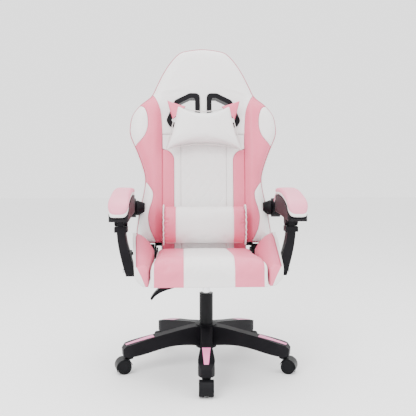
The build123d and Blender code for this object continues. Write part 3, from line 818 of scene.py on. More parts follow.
@dataclass
class Backrest:
    """The backrest's sewn cover, its openings' surround, side band, rear cover and piping."""

    wardrobe: Wardrobe
    shape: BackShape = field(default_factory=BackShape)
    quilt_half: float = 92.0
    strip_half: float = 119.0
    yoke_seam: float = 478.0
    pink_top: float = 418.0
    pink_corner: float = 46.0
    boundary: Spots = ((166, 500), (171, 566), (180, 600), (197, 634), (214, 652))
    leaf: Spots = ((262, 603), (240, 588), (228, 562), (224, 532), (226, 502), (238, 470), (262, 444),
                   (281, 431))
    crescent: Spots = ((236, 290), (216, 264), (203, 238), (206, 208), (216, 176), (222, 140),
                       (216, 100), (204, 70), (190, 42))
    skin: float = 5.0 * MM

    def white_edge(self, v: np.ndarray) -> np.ndarray:
        """Where the white head panel meets the pink bolster, or the front's edge above it."""
        line = smooth_line(self.boundary)
        edge = np.interp(v, line[:, 1], line[:, 0])
        return np.where(v < line[-1, 1], np.minimum(edge, self.shape.half_width(v)), self.shape.half_width(v))

    def strip_edge(self, v: np.ndarray) -> np.ndarray:
        """Outer edge of the white strip beside the quilted panel."""
        climb = np.clip((v - self.pink_top + self.pink_corner) / self.pink_corner, 0, 1)
        corner = self.shape.bolster_seam - (self.shape.bolster_seam - self.strip_half) * np.sqrt(1 - climb**2)
        return np.where(v >= self.pink_top, self.white_edge(v), corner)

    def bolster_edge(self, v: np.ndarray) -> np.ndarray:
        """Outer edge of the pink bolster: the white inserts, or the front's edge."""
        edge = self.shape.half_width(v)
        for spots in (self.leaf, self.crescent):
            line = smooth_line(spots)[::-1]
            within = (v > line[0, 1]) & (v < line[-1, 1])
            edge = np.where(within, np.minimum(edge, np.interp(v, line[:, 1], line[:, 0])), edge)
        return edge

    def panels(self) -> dict[str, list[Panel]]:
        """The cut pieces, by leather: those of one half, and those across the middle."""
        shape, foot, heel = self.shape, self.shape.foot, self.shape.heel
        seam = lambda v: np.full_like(v, shape.bolster_seam)
        quilt = lambda v: np.full_like(v, self.quilt_half)
        inner_bolster = lambda v: np.where(v < self.boundary[0][1], shape.bolster_seam, self.white_edge(v))
        return {
            "white": [
                Panel("back_head_panel", self.yoke_seam, shape.side[0][1], lambda v: -self.white_edge(v),
                      self.white_edge, tuck_inner=False, tuck_outer=False, tuck_low=True, crown_end=True,
                      puff=0.0, step=3.5),
                Panel("back_quilted_panel", heel, self.yoke_seam, lambda v: -quilt(v), quilt,
                      tuck_high=True, step=2.6, puff=2.0),
                Panel("back_strip", heel, self.yoke_seam, quilt, self.strip_edge, tuck_high=True, step=3.2,
                      puff=0.8),
                Panel("back_leaf_insert", self.leaf[-1][1], self.leaf[0][1], self.bolster_edge,
                      shape.half_width, tuck_outer=False, step=3.0),
                Panel("back_crescent_insert", foot, self.crescent[0][1], self.bolster_edge, shape.half_width,
                      tuck_outer=False, step=3.0),
            ],
            "pink": [
                Panel("back_inner_panel", heel, self.pink_top, self.strip_edge, seam, step=3.5),
                Panel("back_bolster_panel", foot, self.boundary[-1][1] + 3, inner_bolster, self.bolster_edge,
                      step=4.0),
            ],
        }

    def panel_mesh(self, panel: Panel, side: int) -> bmesh.types.BMesh:
        """Shape one cut piece.

        Args:
            panel: the piece.
            side: 1 for the sitter's left, -1 for the right.

        Returns:
            Its mesh.
        """
        shape = self.shape

        def place(s: np.ndarray, t: np.ndarray) -> np.ndarray:
            climb = 1 - (1 - t) ** 2 if panel.crown_end else t
            v = panel.low + (panel.high - panel.low) * climb
            inner, outer = panel.inner(v), panel.outer(v)
            even = 0.5 - 0.5 * np.cos(np.pi * s)
            u = inner + (outer - inner) * (0.45 * s + 0.55 * even)
            width = np.maximum(outer - inner, 0.1)
            gaps = [np.full_like(u, 1e3)]
            gaps += [u - inner] * panel.tuck_inner + [outer - u] * panel.tuck_outer
            gaps += [v - panel.low] * panel.tuck_low + [panel.high - v] * panel.tuck_high
            gap = np.min(gaps, axis=0)
            tuck = shape.seam_depth * (1 - quarter_round(gap / shape.seam_roll))
            puff = panel.puff * np.clip(width / 60, 0, 1) * np.sin(np.pi * np.clip((u - inner) / width, 0, 1))
            n = shape.front(u, v) - tuck + puff
            if panel.name == "back_quilted_panel":
                away = smooth_step((gap - 4) / 10)
                n -= 1.1 * away * np.minimum(diamond_grooves(u, v, 40.0, 56.0, 0.045), 1.0)
                n += 0.6 * away * (1 - diamond_grooves(u, v, 40.0, 56.0, 0.22).clip(0, 1))
            return shape.point(side * u, v, n)

        span = panel.high - panel.low
        widest = float(np.max(panel.outer(np.linspace(panel.low, panel.high, 60))
                              - panel.inner(np.linspace(panel.low, panel.high, 60))))
        mesh = mapped_grid(max(8, round(widest / panel.step)), max(8, round(span / panel.step)), place)
        bored = [face for face in mesh.faces if shape.in_hole(*shape.flat(face.calc_center_median()), 8.0)]
        bmesh.ops.delete(mesh, geom=bored, context="FACES")
        if side < 0:
            bmesh.ops.reverse_faces(mesh, faces=mesh.faces)
        return mesh

    def build_front(self) -> list[bpy.types.Object]:
        """Make every cut piece of the front."""
        pieces = []
        for leather, panels in self.panels().items():
            finish = getattr(self.wardrobe, leather)
            for panel in panels:
                whole = panel.name in ("back_head_panel", "back_quilted_panel")
                for side in [Side.LEFT] if whole else list(Side):
                    name = panel.name if whole else f"{panel.name}_{side.word}"
                    piece = make_object(name, self.panel_mesh(panel, side.value), [finish])
                    thicken(piece, self.skin)
                    register(piece, "back")
                    pieces.append(piece)
        return pieces

    def loop(self) -> tuple[np.ndarray, np.ndarray]:
        """The whole outline as a closed loop, with its outward directions."""
        right, out = self.shape.outline, self.shape.outward
        half, low, high = self.shape.heel_half, self.shape.heel, self.shape.foot
        runs = (((right[-1, 0], high), (half, high), (0.0, -1.0)), ((half, high), (half, low), (1.0, 0.0)),
                ((half, low), (-half, low), (0.0, -1.0)), ((-half, low), (-half, high), (-1.0, 0.0)),
                ((-half, high), (-right[-1, 0], high), (0.0, -1.0)))
        foot = np.vstack([np.linspace(a, b, 14)[1:-1] for a, b, _ in runs])
        facing = np.vstack([np.tile(way, (12, 1)) for _, _, way in runs])
        line = np.vstack([right, foot, right[::-1] * (-1, 1)])
        outward = np.vstack([out, facing, out[::-1] * (-1, 1)])
        return line, outward

    def build_shell(self) -> list[bpy.types.Object]:
        """Make the white side band and the rear cover."""
        shape = self.shape
        line, outward = self.loop()
        inset = shape.inset(line[:, 1])
        across = np.array([0.0, 0.16, 0.4, 0.6, 0.78, 0.9, 1.0])
        depth = np.array([shape.edge_n, 0.0, -9.0, -21.0, -32.0, -40.0, -44.0])
        inward = np.array([1.0, 0.45, -0.02, -0.12, 0.05, 0.6, 1.7])

        def band(s: np.ndarray, t: np.ndarray) -> np.ndarray:
            along = s * (len(line) - 1)
            pick = np.arange(len(line))
            spot = np.stack([np.interp(along, pick, line[:, i]) for i in (0, 1)], axis=1)
            out = np.stack([np.interp(along, pick, outward[:, i]) for i in (0, 1)], axis=1)
            start = np.interp(along, pick, inset)
            shift = np.interp(t, across, inward) * np.where(t < 0.4, start, 9.0)
            spot = spot - out * shift[:, None]
            return shape.point(spot[:, 0], spot[:, 1], np.interp(t, across, depth))

        mesh = mapped_grid(len(line) - 1, 22, band)
        bmesh.ops.recalc_face_normals(mesh, faces=mesh.faces)
        side_band = make_object("back_side_band", mesh, [self.wardrobe.white])
        rear_edge = shape.outline - shape.outward * 1.7 * 9.0
        rear_half = lambda v: np.where(v < shape.foot + 15, shape.heel_half - 14,
                                       shape.half_width(v, rear_edge))
        low, high = shape.heel + 14, float(rear_edge[0, 1])

        def cover(s: np.ndarray, t: np.ndarray) -> np.ndarray:
            v = low + (high - low) * (1 - (1 - t) ** 1.6)
            half = rear_half(v)
            u = (2 * s - 1) * half
            n = np.maximum(shape.rear(u, v), -47.5)
            edge = quarter_round((half - np.abs(u)) / 14)
            return shape.point(u, v, -43.0 + (n + 43.0) * edge)

        mesh = mapped_grid(150, 220, cover)
        bored = [face for face in mesh.faces if shape.in_hole(*shape.flat(face.calc_center_median()), 8.0)]
        bmesh.ops.delete(mesh, geom=bored, context="FACES")
        bmesh.ops.reverse_faces(mesh, faces=mesh.faces)
        rear = make_object("back_rear_panel", mesh, [self.wardrobe.white])
        for piece in (side_band, rear):
            thicken(piece, 3.0 * MM)
            register(piece, "back")
        return [side_band, rear]

    def build_trim(self) -> list[bpy.types.Object]:
        """Make the piping round the front and the rear, and the stitched seams."""
        shape, wardrobe = self.shape, self.wardrobe
        edge = np.vstack([shape.front_edge[::-1], (shape.front_edge * (-1, 1))[1:]])
        front = shape.point(edge[:, 0], edge[:, 1], np.full(len(edge), shape.edge_n + 1.0))
        rear = shape.outline - shape.outward * 14.5
        rear = np.vstack([rear[::-1], (rear * (-1, 1))[1:]])
        back = shape.point(rear[:, 0], rear[:, 1], np.full(len(rear), -44.5))
        piping = register(cord_tube("back_front_piping", front, 3.1 * MM, wardrobe.piping), "back")
        rear_piping = register(cord_tube("back_rear_piping", back, 2.2 * MM, wardrobe.white), "back")
        rows: dict[str, list[np.ndarray]] = {"white": [], "pink": []}
        for sign in (1, -1):
            v = np.arange(shape.foot + 20, self.yoke_seam - 6, 4.0)
            self.add_row(rows["white"], np.full_like(v, self.quilt_half + 5.5), v, sign)
            v = np.arange(shape.foot + 20, self.pink_top - 46, 4.0)
            self.add_row(rows["white"], np.full_like(v, self.strip_half - 5.5), v, sign)
            v = np.arange(shape.foot + 20, self.boundary[-1][1] - 12, 4.0)
            self.add_row(rows["pink"], np.where(v < 500, 166.0, self.white_edge(v)) + 6.0, v, sign)
            for spots in (self.leaf, self.crescent):
                line = smooth_line(spots)[2:-2]
                self.add_row(rows["pink"], line[:, 0] - 5.5, line[:, 1], sign)
        u = np.arange(-160.0, 161.0, 4.0)
        self.add_row(rows["white"], u, np.full_like(u, self.yoke_seam + 5.5), 1)
        white = stitch_row("back_white_stitching", rows["white"], wardrobe.white_thread)
        pink = stitch_row("back_pink_stitching", rows["pink"], wardrobe.pink_thread)
        register(white, "back")
        register(pink, "back")
        return [piping, rear_piping, white, pink]

    def add_row(self, rows: list[np.ndarray], u: np.ndarray, v: np.ndarray, sign: int) -> None:
        """Lay a row of stitches on the front, leaving out the openings.

        Args:
            rows: the list that takes the new rows.
            u: places across.
            v: places up.
            sign: 1 for the sitter's left, -1 for the right.
        """
        keep = [not self.shape.in_hole(a, b, -6.0) for a, b in zip(u, v)]
        tuck = self.shape.seam_depth * (1 - quarter_round(np.full_like(u, 0.55)))
        spots = self.shape.point(sign * u, v, self.shape.front(sign * u, v) - tuck + 0.6)
        start = 0
        for i in range(len(keep) + 1):
            if i == len(keep) or not keep[i]:
                if i - start > 2:
                    rows.append(spots[start:i])
                start = i + 1

    def build(self) -> list[bpy.types.Object]:
        """Make the whole backrest."""
        front = self.build_front()
        shell = self.build_shell()
        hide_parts("back_core")
        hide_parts("back_centre_pad")
        for piece in front:
            if piece.name.startswith("back_bolster_panel"):
                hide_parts(piece.name.replace("_panel", ""))
        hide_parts("back_rear_cover")
        return front + shell + self.build_trim()


# --- loose cushions ----------------------------------------------------------------------------


def closed_pillow(columns: int, rows: int, place: Callable[[np.ndarray, np.ndarray, int], np.ndarray]
                  ) -> bmesh.types.BMesh:
    """Two facing sheets sewn together round their edge.

    Args:
        columns: faces along s.
        rows: faces along t.
        place: the N x 3 positions for s and t, for the front (1) or the back (-1).

    Returns:
        The closed mesh.
    """
    front = mapped_grid(columns, rows, lambda s, t: place(s, t, 1))
    back = mapped_grid(columns, rows, lambda s, t: place(s, t, -1))
    bmesh.ops.reverse_faces(back, faces=back.faces)
    sheet = bpy.data.meshes.new("sheet")
    back.to_mesh(sheet)
    back.free()
    front.from_mesh(sheet)
    bpy.data.meshes.remove(sheet)
    bmesh.ops.remove_doubles(front, verts=front.verts, dist=0.1 * MM)
    bmesh.ops.recalc_face_normals(front, faces=front.faces)
    return front


@dataclass
class HeadPillow:
    """The head pillow with its two ears, worked out in the backrest's plane."""

    wardrobe: Wardrobe
    shape: BackShape
    low: float = 408.0
    high: float = 587.0
    half_low: float = 149.0
    half_high: float = 108.0
    sag_high: float = 25.0
    lift_low: float = 22.0
    middle_n: float = 71.0
    half_thickness: float = 30.0
    stuffing: Stuffing = Stuffing(voxel=4.0 * MM, pressure=4.0, cap=8.0 * MM)

    def outline(self, s: np.ndarray, t: np.ndarray) -> tuple[np.ndarray, np.ndarray]:
        """Places u, v for s and t from 0 to 1."""
        x = 2 * s - 1
        half = self.half_low + (self.half_high - self.half_low) * t - 3.0 * np.sin(np.pi * t)
        low = self.low + self.lift_low * (1 - x**2)
        high = self.high - self.sag_high * (1 - x**2)
        return x * half, low + (high - low) * t

    def place(self, s: np.ndarray, t: np.ndarray, face: int) -> np.ndarray:
        """Positions of the pillow's front or back sheet."""
        ease_s, ease_t = 0.5 - 0.5 * np.cos(np.pi * s), 0.5 - 0.5 * np.cos(np.pi * t)
        u, v = self.outline(ease_s, ease_t)
        x, y = 2 * ease_s - 1, 2 * ease_t - 1
        swell = np.clip((1 - x**4) * (1 - y**4), 0, 1) ** 0.5
        return self.shape.point(u, v, self.middle_n + face * self.half_thickness * swell)

    def rim(self, stretch: float = 1.0) -> np.ndarray:
        """The pillow's seam as a closed line, u and v."""
        steps = np.linspace(0, 1, 40, endpoint=False)
        sides = [(steps, np.zeros_like(steps)), (np.ones_like(steps), steps), (1 - steps, np.ones_like(steps)),
                 (np.zeros_like(steps), 1 - steps)]
        line = np.vstack([np.stack(self.outline(s, t), axis=1) for s, t in sides])
        middle = line.mean(axis=0)
        return middle + (line - middle) * stretch

    def ear(self, side: Side) -> bpy.types.Object:
        """Make one ear."""
        base = np.array(((72.0, 584.0), (124.0, 530.0)))
        tip = np.array((146.0, 608.0))

        def place(s: np.ndarray, t: np.ndarray, face: int) -> np.ndarray:
            foot = base[0] + (base[1] - base[0]) * s[:, None]
            spot = foot + (tip - foot) * t[:, None]
            x = (2 * s - 1) * (1 - t)
            bow = 4.0 * np.sin(np.pi * t) * (1 - 2 * s)
            spot = spot + np.outer(bow, (-0.66, -0.75)) * 0.35
            swell = np.clip((1 - np.abs(2 * s - 1) ** 2.2) * (1 - t**3), 0, 1) ** 0.5
            thick = 12.0 * swell * (1 - 0.55 * t) * (1 - 0.1 * np.abs(x))
            return self.shape.point(side.value * spot[:, 0], spot[:, 1],
                                    self.middle_n - 4 + face * thick)

        piece = make_object(f"pillow_ear_{side.word}", closed_pillow(14, 18, place), [self.wardrobe.pink])
        register(piece, "back")
        return piece

    def build(self) -> list[bpy.types.Object]:
        """Make the pillow, ears and piping."""
        pillow = make_object("head_pillow_cover", closed_pillow(44, 30, self.place), [self.wardrobe.white])
        self.stuffing.fill(pillow)
        spots = vertex_spots(pillow.data) / MM - self.shape.origin
        u, v, n = spots[:, 0], spots @ self.shape.up, spots @ self.shape.forward
        folds = 1.3 * ridge(u, v, (-112, 450), 40, 26, 6) + 1.3 * ridge(u, v, (114, 450), -40, 26, 6)
        folds += 1.0 * ridge(u, v, (-88, 566), -46, 20, 6) + 1.0 * ridge(u, v, (88, 566), 46, 20, 6)
        folds += 0.8 * ridge(u, v, (-128, 448), 62, 22, 5) + 0.8 * ridge(u, v, (128, 448), -62, 22, 5)
        grow_vertices(pillow.data, folds * (n > self.middle_n) * MM)
        register(pillow, "back")
        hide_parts("head_pillow")
        rim = self.rim(1.01)
        path = self.shape.point(rim[:, 0], rim[:, 1], np.full(len(rim), self.middle_n))
        # The seam cord's greyish-pink colour, darker than the cover, is painted shade of the seam line.
        piping = cord_tube("head_pillow_piping", path, 1.9 * MM, self.wardrobe.pillow_piping, cyclic=True)
        register(piping, "back")
        return [pillow, piping, *[self.ear(side) for side in Side]]


@dataclass
class LumbarRoll:
    """The lumbar cushion: a white roll with pink ends and ruffled piping."""

    wardrobe: Wardrobe
    shape: BackShape
    half: float = 162.0
    middle_v: float = 108.0
    flat_n: float = 34.0
    rise: float = 76.0
    depth: float = 78.0
    seam: float = 112.0
    stuffing: Stuffing = Stuffing(voxel=4.5 * MM, pressure=4.0, cap=7.0 * MM)

    def section(self, angle: np.ndarray, swell: np.ndarray) -> tuple[np.ndarray, np.ndarray]:
        """Places v, n round the roll's section, from an angle and a share of its full size."""
        v = self.middle_v + self.rise * swell * np.sign(np.sin(angle)) * np.abs(np.sin(angle)) ** 0.85
        half = self.depth / 2
        n = self.flat_n + half + half * swell * np.sign(np.cos(angle)) * np.abs(np.cos(angle)) ** 0.8
        return v, n

    def build(self) -> list[bpy.types.Object]:
        """Make the roll and its piping."""
        shape, wardrobe = self.shape, self.wardrobe

        def place(s: np.ndarray, t: np.ndarray) -> np.ndarray:
            x = 2 * t - 1
            cap = 1 - np.clip((np.abs(x) - 0.94) / 0.06, 0, 1) ** 2
            swell = np.sqrt(np.maximum(cap, 0)) * (1 - 0.05 * x**2)
            v, n = self.section(2 * np.pi * s, swell)
            return shape.point(x * self.half, v, n)

        mesh = mapped_grid(72, 110, place)
        bmesh.ops.recalc_face_normals(mesh, faces=mesh.faces)
        finishes = [wardrobe.pink, wardrobe.white, wardrobe.white]
        roll = make_object("lumbar_roll", mesh, finishes)
        self.stuffing.fill(roll)
        spots = vertex_spots(roll.data) / MM
        seam = -2.4 * np.exp(-(((np.abs(spots[:, 0]) - self.seam) / 3.2) ** 2))
        v = (spots - shape.origin) @ shape.up
        wave = np.sin(v * 0.33 + 1.7 * np.sin(v * 0.11)) * smooth_step((np.abs(spots[:, 0]) - 132) / 26)
        grow_vertices(roll.data, (seam + 1.2 * wave) * MM)
        planes = [(Vector((sign * self.seam * MM, 0, 0)), Vector((1, 0, 0))) for sign in (1, -1)]
        cut_and_colour(roll, planes,
                       lambda spot, normal: Cover.WHITE if abs(spot.x) < self.seam * MM else Cover.PINK)
        register(roll, "back")
        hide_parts("lumbar_cushion")
        pieces = [roll]
        angle = np.linspace(0, 2 * np.pi, 200, endpoint=False)
        for side in Side:
            v, n = self.section(angle, np.full_like(angle, 0.99))
            ruffle = 2.4 * np.sin(angle * 23)
            u = side.value * (self.half * 0.985 + 0.8 * np.sin(angle * 23 + 1.2))
            out = np.stack([v - self.middle_v, n - self.flat_n - self.depth / 2], axis=1)
            out /= np.linalg.norm(out, axis=1)[:, None]
            path = shape.point(u, v + out[:, 0] * ruffle, n + out[:, 1] * ruffle)
            piping = cord_tube(f"lumbar_piping_{side.word}", path, 2.3 * MM, wardrobe.white, cyclic=True)
            pieces.append(register(piping, "back"))
        return pieces


# --- seat --------------------------------------------------------------------------------------


@dataclass
class SeatCushion:
    """The seat's stuffed pad: a white quilted stripe between two pink ones, with white sides."""

    wardrobe: Wardrobe
    stripe: float = 83.0
    gusset: float = 179.0
    crest: float = 430.0
    rear_top: float = 410.0
    crest_y: float = -205.0
    swell: float = 9.0
    stuffing: Stuffing = Stuffing(voxel=5.0 * MM, pressure=4.0, cap=11.0 * MM)

    def build(self) -> list[bpy.types.Object]:
        """Make the pad, with its seams and quilting pressed in."""
        low, high = (np.array(corner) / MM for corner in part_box("seat_cushion"))
        size = high - low - (0.8 * self.swell, 1.2 * self.swell, self.swell)
        middle = (low + high) / 2 - (0, 0, self.swell / 2)
        mesh = bmesh.new()
        bmesh.ops.create_cube(mesh, size=1.0, matrix=Matrix.Translation(Vector(middle) * MM)
                              @ Matrix.Diagonal((*(size * MM), 1.0)))
        upper = [edge for edge in mesh.edges
                 if all(vert.co.z > middle[2] * MM for vert in edge.verts)]
        bmesh.ops.bevel(mesh, geom=upper, offset=17 * MM, affect="EDGES", segments=6, profile=0.5, material=-1)
        pad = make_object("seat_pad", mesh, [self.wardrobe.light_pink, self.wardrobe.white,
                                             self.wardrobe.dust_cloth])
        self.stuffing.remesh(pad)
        self.mould(pad, low, high)
        self.stuffing.fill(pad, lambda spots: smooth_step((spots[:, 2] / MM - low[2]) / 55))
        self.sew(pad)
        planes = [(Vector((x * MM, 0, 0)), Vector((1, 0, 0)))
                  for x in (-self.gusset, -self.stripe, self.stripe, self.gusset)]
        cut_and_colour(pad, planes, self.pick)
        register(pad, "seat")
        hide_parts("seat_cushion")
        return [pad]

    def mould(self, pad: bpy.types.Object, low: np.ndarray, high: np.ndarray) -> None:
        """Give the block its fall to the rear and its rounded front."""
        spots = vertex_spots(pad.data) / MM
        height = (spots[:, 2] - low[2]) / (high[2] - low[2])
        back = np.clip((spots[:, 1] - self.crest_y) / (high[1] - self.crest_y), 0, 1)
        spots[:, 2] -= height * (self.crest - self.rear_top) * smooth_step(back)
        nose = np.clip((self.crest_y - 6 - spots[:, 1]) / (self.crest_y - low[1]), 0, 1)
        spots[:, 2] -= height * 13.0 * nose**2
        spots[:, 2] += height * 4.0 * np.cos(spots[:, 0] / 195 * math.pi / 2)
        pad.data.vertices.foreach_set("co", (spots * MM).ravel())
        pad.data.update()

    def sew(self, pad: bpy.types.Object) -> None:
        """Press in the seams, the diamond quilting and a few pull folds."""
        spots = vertex_spots(pad.data) / MM
        x, y, z = spots.T
        above = smooth_step((z - 350) / 12)
        grow = -2.6 * np.exp(-(((np.abs(x) - self.stripe) / 3.2) ** 2)) * above
        grow -= 2.2 * np.exp(-(((np.abs(x) - self.gusset) / 3.0) ** 2)) * above
        girth = y - (z - 400) * (y < self.crest_y)
        away = smooth_step((self.stripe - 7 - np.abs(x)) / 10) * above
        grow -= 0.9 * away * np.minimum(diamond_grooves(x, girth, 42.0, 58.0, 0.05), 1.0)
        grow += 1.1 * ridge(x, y, (-150, 120), 30, 40, 8) + 1.1 * ridge(x, y, (150, 120), -30, 40, 8)
        grow += 0.9 * ridge(x, y, (130, -190), 12, 40, 9) + 0.9 * ridge(x, y, (-128, -186), -10, 44, 9)
        grow_vertices(pad.data, grow * MM)

    def pick(self, spot: Vector, normal: Vector) -> Cover:
        """The leather of a face of the pad."""
        if normal.z < -0.8 and spot.z < 0.352:
            return Cover.UNDERSIDE
        across = abs(spot.x) / MM
        return Cover.PINK if self.stripe < across < self.gusset else Cover.WHITE


@dataclass
class SeatWings:
    """The two side wings of the seat: pink inside, white outside, piped along the ridge."""

    wardrobe: Wardrobe
    stations: tuple[float, ...] = (148.0, 112.0, 70.0, -250.0)
    profiles: tuple[Spots, ...] = (
        ((197, 345), (243, 345), (272, 420), (284, 478), (250, 468), (197, 408)),
        ((197, 343), (236, 343), (268, 415), (278, 474), (244, 464), (197, 409)),
        ((197, 340), (234, 340), (266, 410), (276, 466), (246, 460), (197, 410)),
        ((197, 340), (216, 340), (238, 366), (243, 400), (226, 408), (197, 398)),
    )
    per_edge: int = 12
    cap: float = 9.0
    ridge_edge: int = 3

    def section(self, y: float) -> np.ndarray:
        """The rounded section at a place along the seat, x and z."""
        corners = np.array(self.profiles, float)[::-1].reshape(len(self.stations), -1)
        corners = np.array([np.interp(y, self.stations[::-1], column) for column in corners.T]).reshape(-1, 2)
        edges = zip(corners, np.roll(corners, -1, axis=0))
        ring = np.vstack([a + (b - a) * np.linspace(0, 1, self.per_edge, endpoint=False)[:, None]
                          for a, b in edges])
        for _ in range(2):
            ring = 0.25 * np.roll(ring, 1, axis=0) + 0.5 * ring + 0.25 * np.roll(ring, -1, axis=0)
        middle = ring.mean(axis=0)
        run = np.roll(ring, -1, axis=0) - np.roll(ring, 1, axis=0)
        out = np.stack([run[:, 1], -run[:, 0]], axis=1)
        out /= np.maximum(np.linalg.norm(out, axis=1), 1e-9)[:, None]
        puff = np.zeros(len(ring))
        slope = slice(4 * self.per_edge, 5 * self.per_edge)
        puff[slope] = 5.0 * np.sin(np.pi * np.linspace(0, 1, self.per_edge))
        outer = slice(self.per_edge, 3 * self.per_edge)
        puff[outer] = 3.0 * np.sin(np.pi * np.linspace(0, 1, 2 * self.per_edge))
        away = ring - middle
        facing = np.sign(np.sum(out * away, axis=1))
        return ring + out * (facing * puff)[:, None]

    def build_side(self, side: Side) -> list[bpy.types.Object]:
        """Make one wing and its piping."""
        count = 6 * self.per_edge
        rows = 104
        first, last = self.stations[0], self.stations[-1]
        rings = np.empty((rows + 1, count, 3))
        for i in range(rows + 1):
            t = i / rows
            y = first + (last - first) * t
            ring = self.section(y)
            ends = min(first - y, y - last)
            shrink = float(quarter_round(np.array(ends / self.cap + 1e-4)))
            middle = ring.mean(axis=0)
            ring = middle + (ring - middle) * (0.25 + 0.75 * shrink)
            rings[i, :, 0], rings[i, :, 1], rings[i, :, 2] = side.value * ring[:, 0], y, ring[:, 1]
        rings[0, :] = rings[0].mean(axis=0)
        rings[-1, :] = rings[-1].mean(axis=0)

        def place(s: np.ndarray, t: np.ndarray) -> np.ndarray:
            column = np.rint(s * count).astype(int) % count
            row = np.rint(t * rows).astype(int)
            return rings[row, column] * MM

        mesh = mapped_grid(count, rows, place)
        uv = mesh.loops.layers.uv.active
        ridge_s = (self.ridge_edge + 0.5) / 6
        bottom_s = 0.5 / 6
        for face in mesh.faces:
            s = sum(loop[uv].uv.x for loop in face.loops) / len(face.loops)
            cover = Cover.WHITE if bottom_s < s < ridge_s else Cover.PINK
            face.material_index = cover.value
        bmesh.ops.recalc_face_normals(mesh, faces=mesh.faces)
        wing = make_object(f"seat_wing_cover_{side.word}", mesh,
                           [self.wardrobe.light_pink, self.wardrobe.white])
        register(wing, "seat")
        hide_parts(f"seat_wing_{side.word}")
        column = int(round(ridge_s * count))
        crest = rings[2:-2, column] * MM
        piping = cord_tube(f"seat_wing_piping_{side.word}", crest, 2.3 * MM, self.wardrobe.piping)
        inside = rings[3:-3, column + 5] * MM
        thread = stitch_row(f"seat_wing_stitching_{side.word}", [inside], self.wardrobe.pink_thread)
        register(piping, "seat")
        register(thread, "seat")
        return [wing, piping, thread]

    def build(self) -> list[bpy.types.Object]:
        """Make both wings."""
        return [piece for side in Side for piece in self.build_side(side)]


# --- armrests ----------------------------------------------------------------------------------


@dataclass
class ArmPad:
    """An armrest's soft pad: pink on top, with a white band along its lower edge."""

    wardrobe: Wardrobe
    side: Side
    seam: Spots = ((178, 574), (140, 600), (90, 619), (10, 627), (-70, 621), (-150, 600), (-214, 558))
    band_mid: float = 11.0
    band_front: float = 17.0
    stuffing: Stuffing = Stuffing(voxel=4.0 * MM, pressure=3.0, cap=4.0 * MM)

    def build(self) -> list[bpy.types.Object]:
        """Make the pad, with its seam pressed in."""
        node = f"arm_pad_{self.side.word}"
        mesh = bmesh.new()
        mesh.from_mesh(frame["nodes"][node].data)
        bmesh.ops.remove_doubles(mesh, verts=mesh.verts, dist=0.01 * MM)
        pad = make_object(f"{node}_cover", mesh, [])
        pad.data.materials.clear()
        pad.data.materials.append(self.wardrobe.banded)
        self.stuffing.remesh(pad)
        self.round_off(pad, 10)
        self.stuffing.fill(pad)
        line = smooth_line(self.seam)
        spots = vertex_spots(pad.data) / MM
        above = distance_to_line(spots[:, 1:], line)
        front = smooth_step((-120 - spots[:, 1]) / 80)
        band = self.band_mid + (self.band_front - self.band_mid) * front - above
        grow_vertices(pad.data, -1.5 * np.exp(-((band / 2.4) ** 2)) * MM)
        layer = pad.data.attributes.new("band", "FLOAT", "POINT")
        layer.data.foreach_set("value", band * MM)
        register(pad, f"armrest_{self.side.word}")
        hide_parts(node)
        return [pad]

    @staticmethod
    def round_off(piece: bpy.types.Object, passes: int) -> None:
        """Round the piece's edges by smoothing its even mesh."""
        mesh = bmesh.new()
        mesh.from_mesh(piece.data)
        for _ in range(passes):
            bmesh.ops.smooth_vert(mesh, verts=mesh.verts, factor=0.5, use_axis_x=True, use_axis_y=True,
                                  use_axis_z=True)
        mesh.to_mesh(piece.data)
        mesh.free()


# --- hard parts --------------------------------------------------------------------------------


@dataclass
class Hardware:
    """The frame's own nodes in their finishes, and small hard trim."""

    wardrobe: Wardrobe
    spacer_radius: float = 15.0

    def dress(self) -> int:
        """Give every frame node its finish.

        Returns:
            How many nodes were dressed.
        """
        slots = {part["node"]: part["material_slot"] for part in frame["record"]["subparts"]}
        for name, node in frame["nodes"].items():
            finish = self.wardrobe.by_slot.get(slots.get(name, ""), self.wardrobe.by_slot["black_steel"])
            if not node.material_slots:
                node.data.materials.append(finish)
            for slot in node.material_slots:
                slot.material = finish
        return len(slots)

    def spacer(self, side: Side) -> bpy.types.Object:
        """Make the sleeve between the backrest and an armrest's hub."""
        pivot = next(joint for joint in frame["joints"] if joint["name"] == f"armrest_{side.word}_pivot")
        _, y, z = pivot["pos_m"]
        profile = [(236, 0), (236, 20), (260, 28), (263, 30), (268, 30), (271, 27), (271, 0)]
        mesh = bmesh.new()
        verts = [mesh.verts.new((side.value * x * MM, y, z + r * MM)) for x, r in profile]
        edges = [mesh.edges.new(pair) for pair in zip(verts, verts[1:])]
        bmesh.ops.spin(mesh, geom=verts + edges, cent=(0, y, z), axis=(1, 0, 0), angle=2 * math.pi,
                       steps=40, use_merge=True, use_duplicate=False)
        bmesh.ops.remove_doubles(mesh, verts=mesh.verts, dist=0.05 * MM)
        bmesh.ops.recalc_face_normals(mesh, faces=mesh.faces)
        piece = make_object(f"arm_spacer_{side.word}", mesh, [self.wardrobe.by_slot["black_nylon"]])
        return register(piece, "back")

    def build(self) -> list[bpy.types.Object]:
        """Dress the nodes and make the trim."""
        LOG.info("dressed %d frame nodes", self.dress())
        return [self.spacer(side) for side in Side]


# --- studio ------------------------------------------------------------------------------------


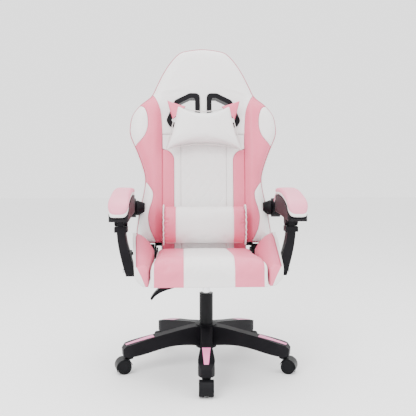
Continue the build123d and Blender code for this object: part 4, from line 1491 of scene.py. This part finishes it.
@dataclass
class Studio:
    """A plain pale floor, soft lights and the camera."""

    distance: float = 2.054
    height: float = 0.723
    azimuth: float = 0.0428
    yaw: float = 0.0461
    pitch: float = 0.0697
    lens: float = 48.76
    floor_size: float = 12.0

    def floor(self) -> None:
        """Lay the floor."""
        mesh = bmesh.new()
        bmesh.ops.create_grid(mesh, x_segments=2, y_segments=2, size=self.floor_size)
        floor = make_object("studio_floor", mesh, [])
        bench = NodeBench("studio_floor")
        bench.shader.inputs["Base Color"].default_value = (0.93, 0.93, 0.93, 1.0)
        bench.shader.inputs["Roughness"].default_value = 0.7
        floor.data.materials.append(bench.material)

    def light(self, name: str, place: Vector, size: float, power: float) -> None:
        """Add a soft square light that faces the chair.

        Args:
            name: the light's name.
            place: its position in metres.
            size: its side in metres.
            power: its power in watts.
        """
        lamp = bpy.data.lights.new(name, "AREA")
        lamp.size, lamp.energy = size, power
        piece = bpy.data.objects.new(name, lamp)
        piece.location = place
        piece.rotation_euler = (Vector((0, 0, 0.65)) - place).to_track_quat("-Z", "Y").to_euler()
        bpy.context.scene.collection.objects.link(piece)

    def camera(self) -> None:
        """Set up the camera."""
        lens = bpy.data.cameras.new("camera")
        lens.lens, lens.sensor_width = self.lens, 36.0
        camera = bpy.data.objects.new("camera", lens)
        camera.location = (-self.distance * math.sin(self.azimuth), -self.distance * math.cos(self.azimuth),
                           self.height)
        camera.rotation_euler = (math.pi / 2 - self.pitch, 0.0, -self.yaw)
        bpy.context.scene.collection.objects.link(camera)
        bpy.context.scene.camera = camera

    def build(self) -> None:
        """Set up the whole studio."""
        self.floor()
        world = bpy.data.worlds.new("studio")
        world.use_nodes = True
        world.node_tree.nodes["Background"].inputs["Color"].default_value = (1.0, 1.0, 1.0, 1.0)
        world.node_tree.nodes["Background"].inputs["Strength"].default_value = 2.1
        bpy.context.scene.world = world
        self.light("key", Vector((-1.6, -2.2, 2.6)), 1.8, 95.0)
        self.light("fill", Vector((2.2, -1.8, 1.6)), 1.8, 30.0)
        self.light("top", Vector((0.0, 0.4, 3.0)), 2.2, 60.0)
        self.camera()


def main() -> None:
    """Build the chair's looks around the frame."""
    logging.basicConfig(level=logging.INFO, format="%(name)s: %(message)s")
    wardrobe = Wardrobe()
    shape = BackShape()
    makers = [Backrest(wardrobe, shape), HeadPillow(wardrobe, shape), LumbarRoll(wardrobe, shape),
              SeatCushion(wardrobe), SeatWings(wardrobe), *[ArmPad(wardrobe, side) for side in Side],
              Hardware(wardrobe)]
    for maker in makers:
        for piece in maker.build():
            LOG.info("%s: %s, %d faces", type(maker).__name__, piece.name, len(piece.data.polygons))
    Studio().build()


if __name__ == "__main__":
    main()
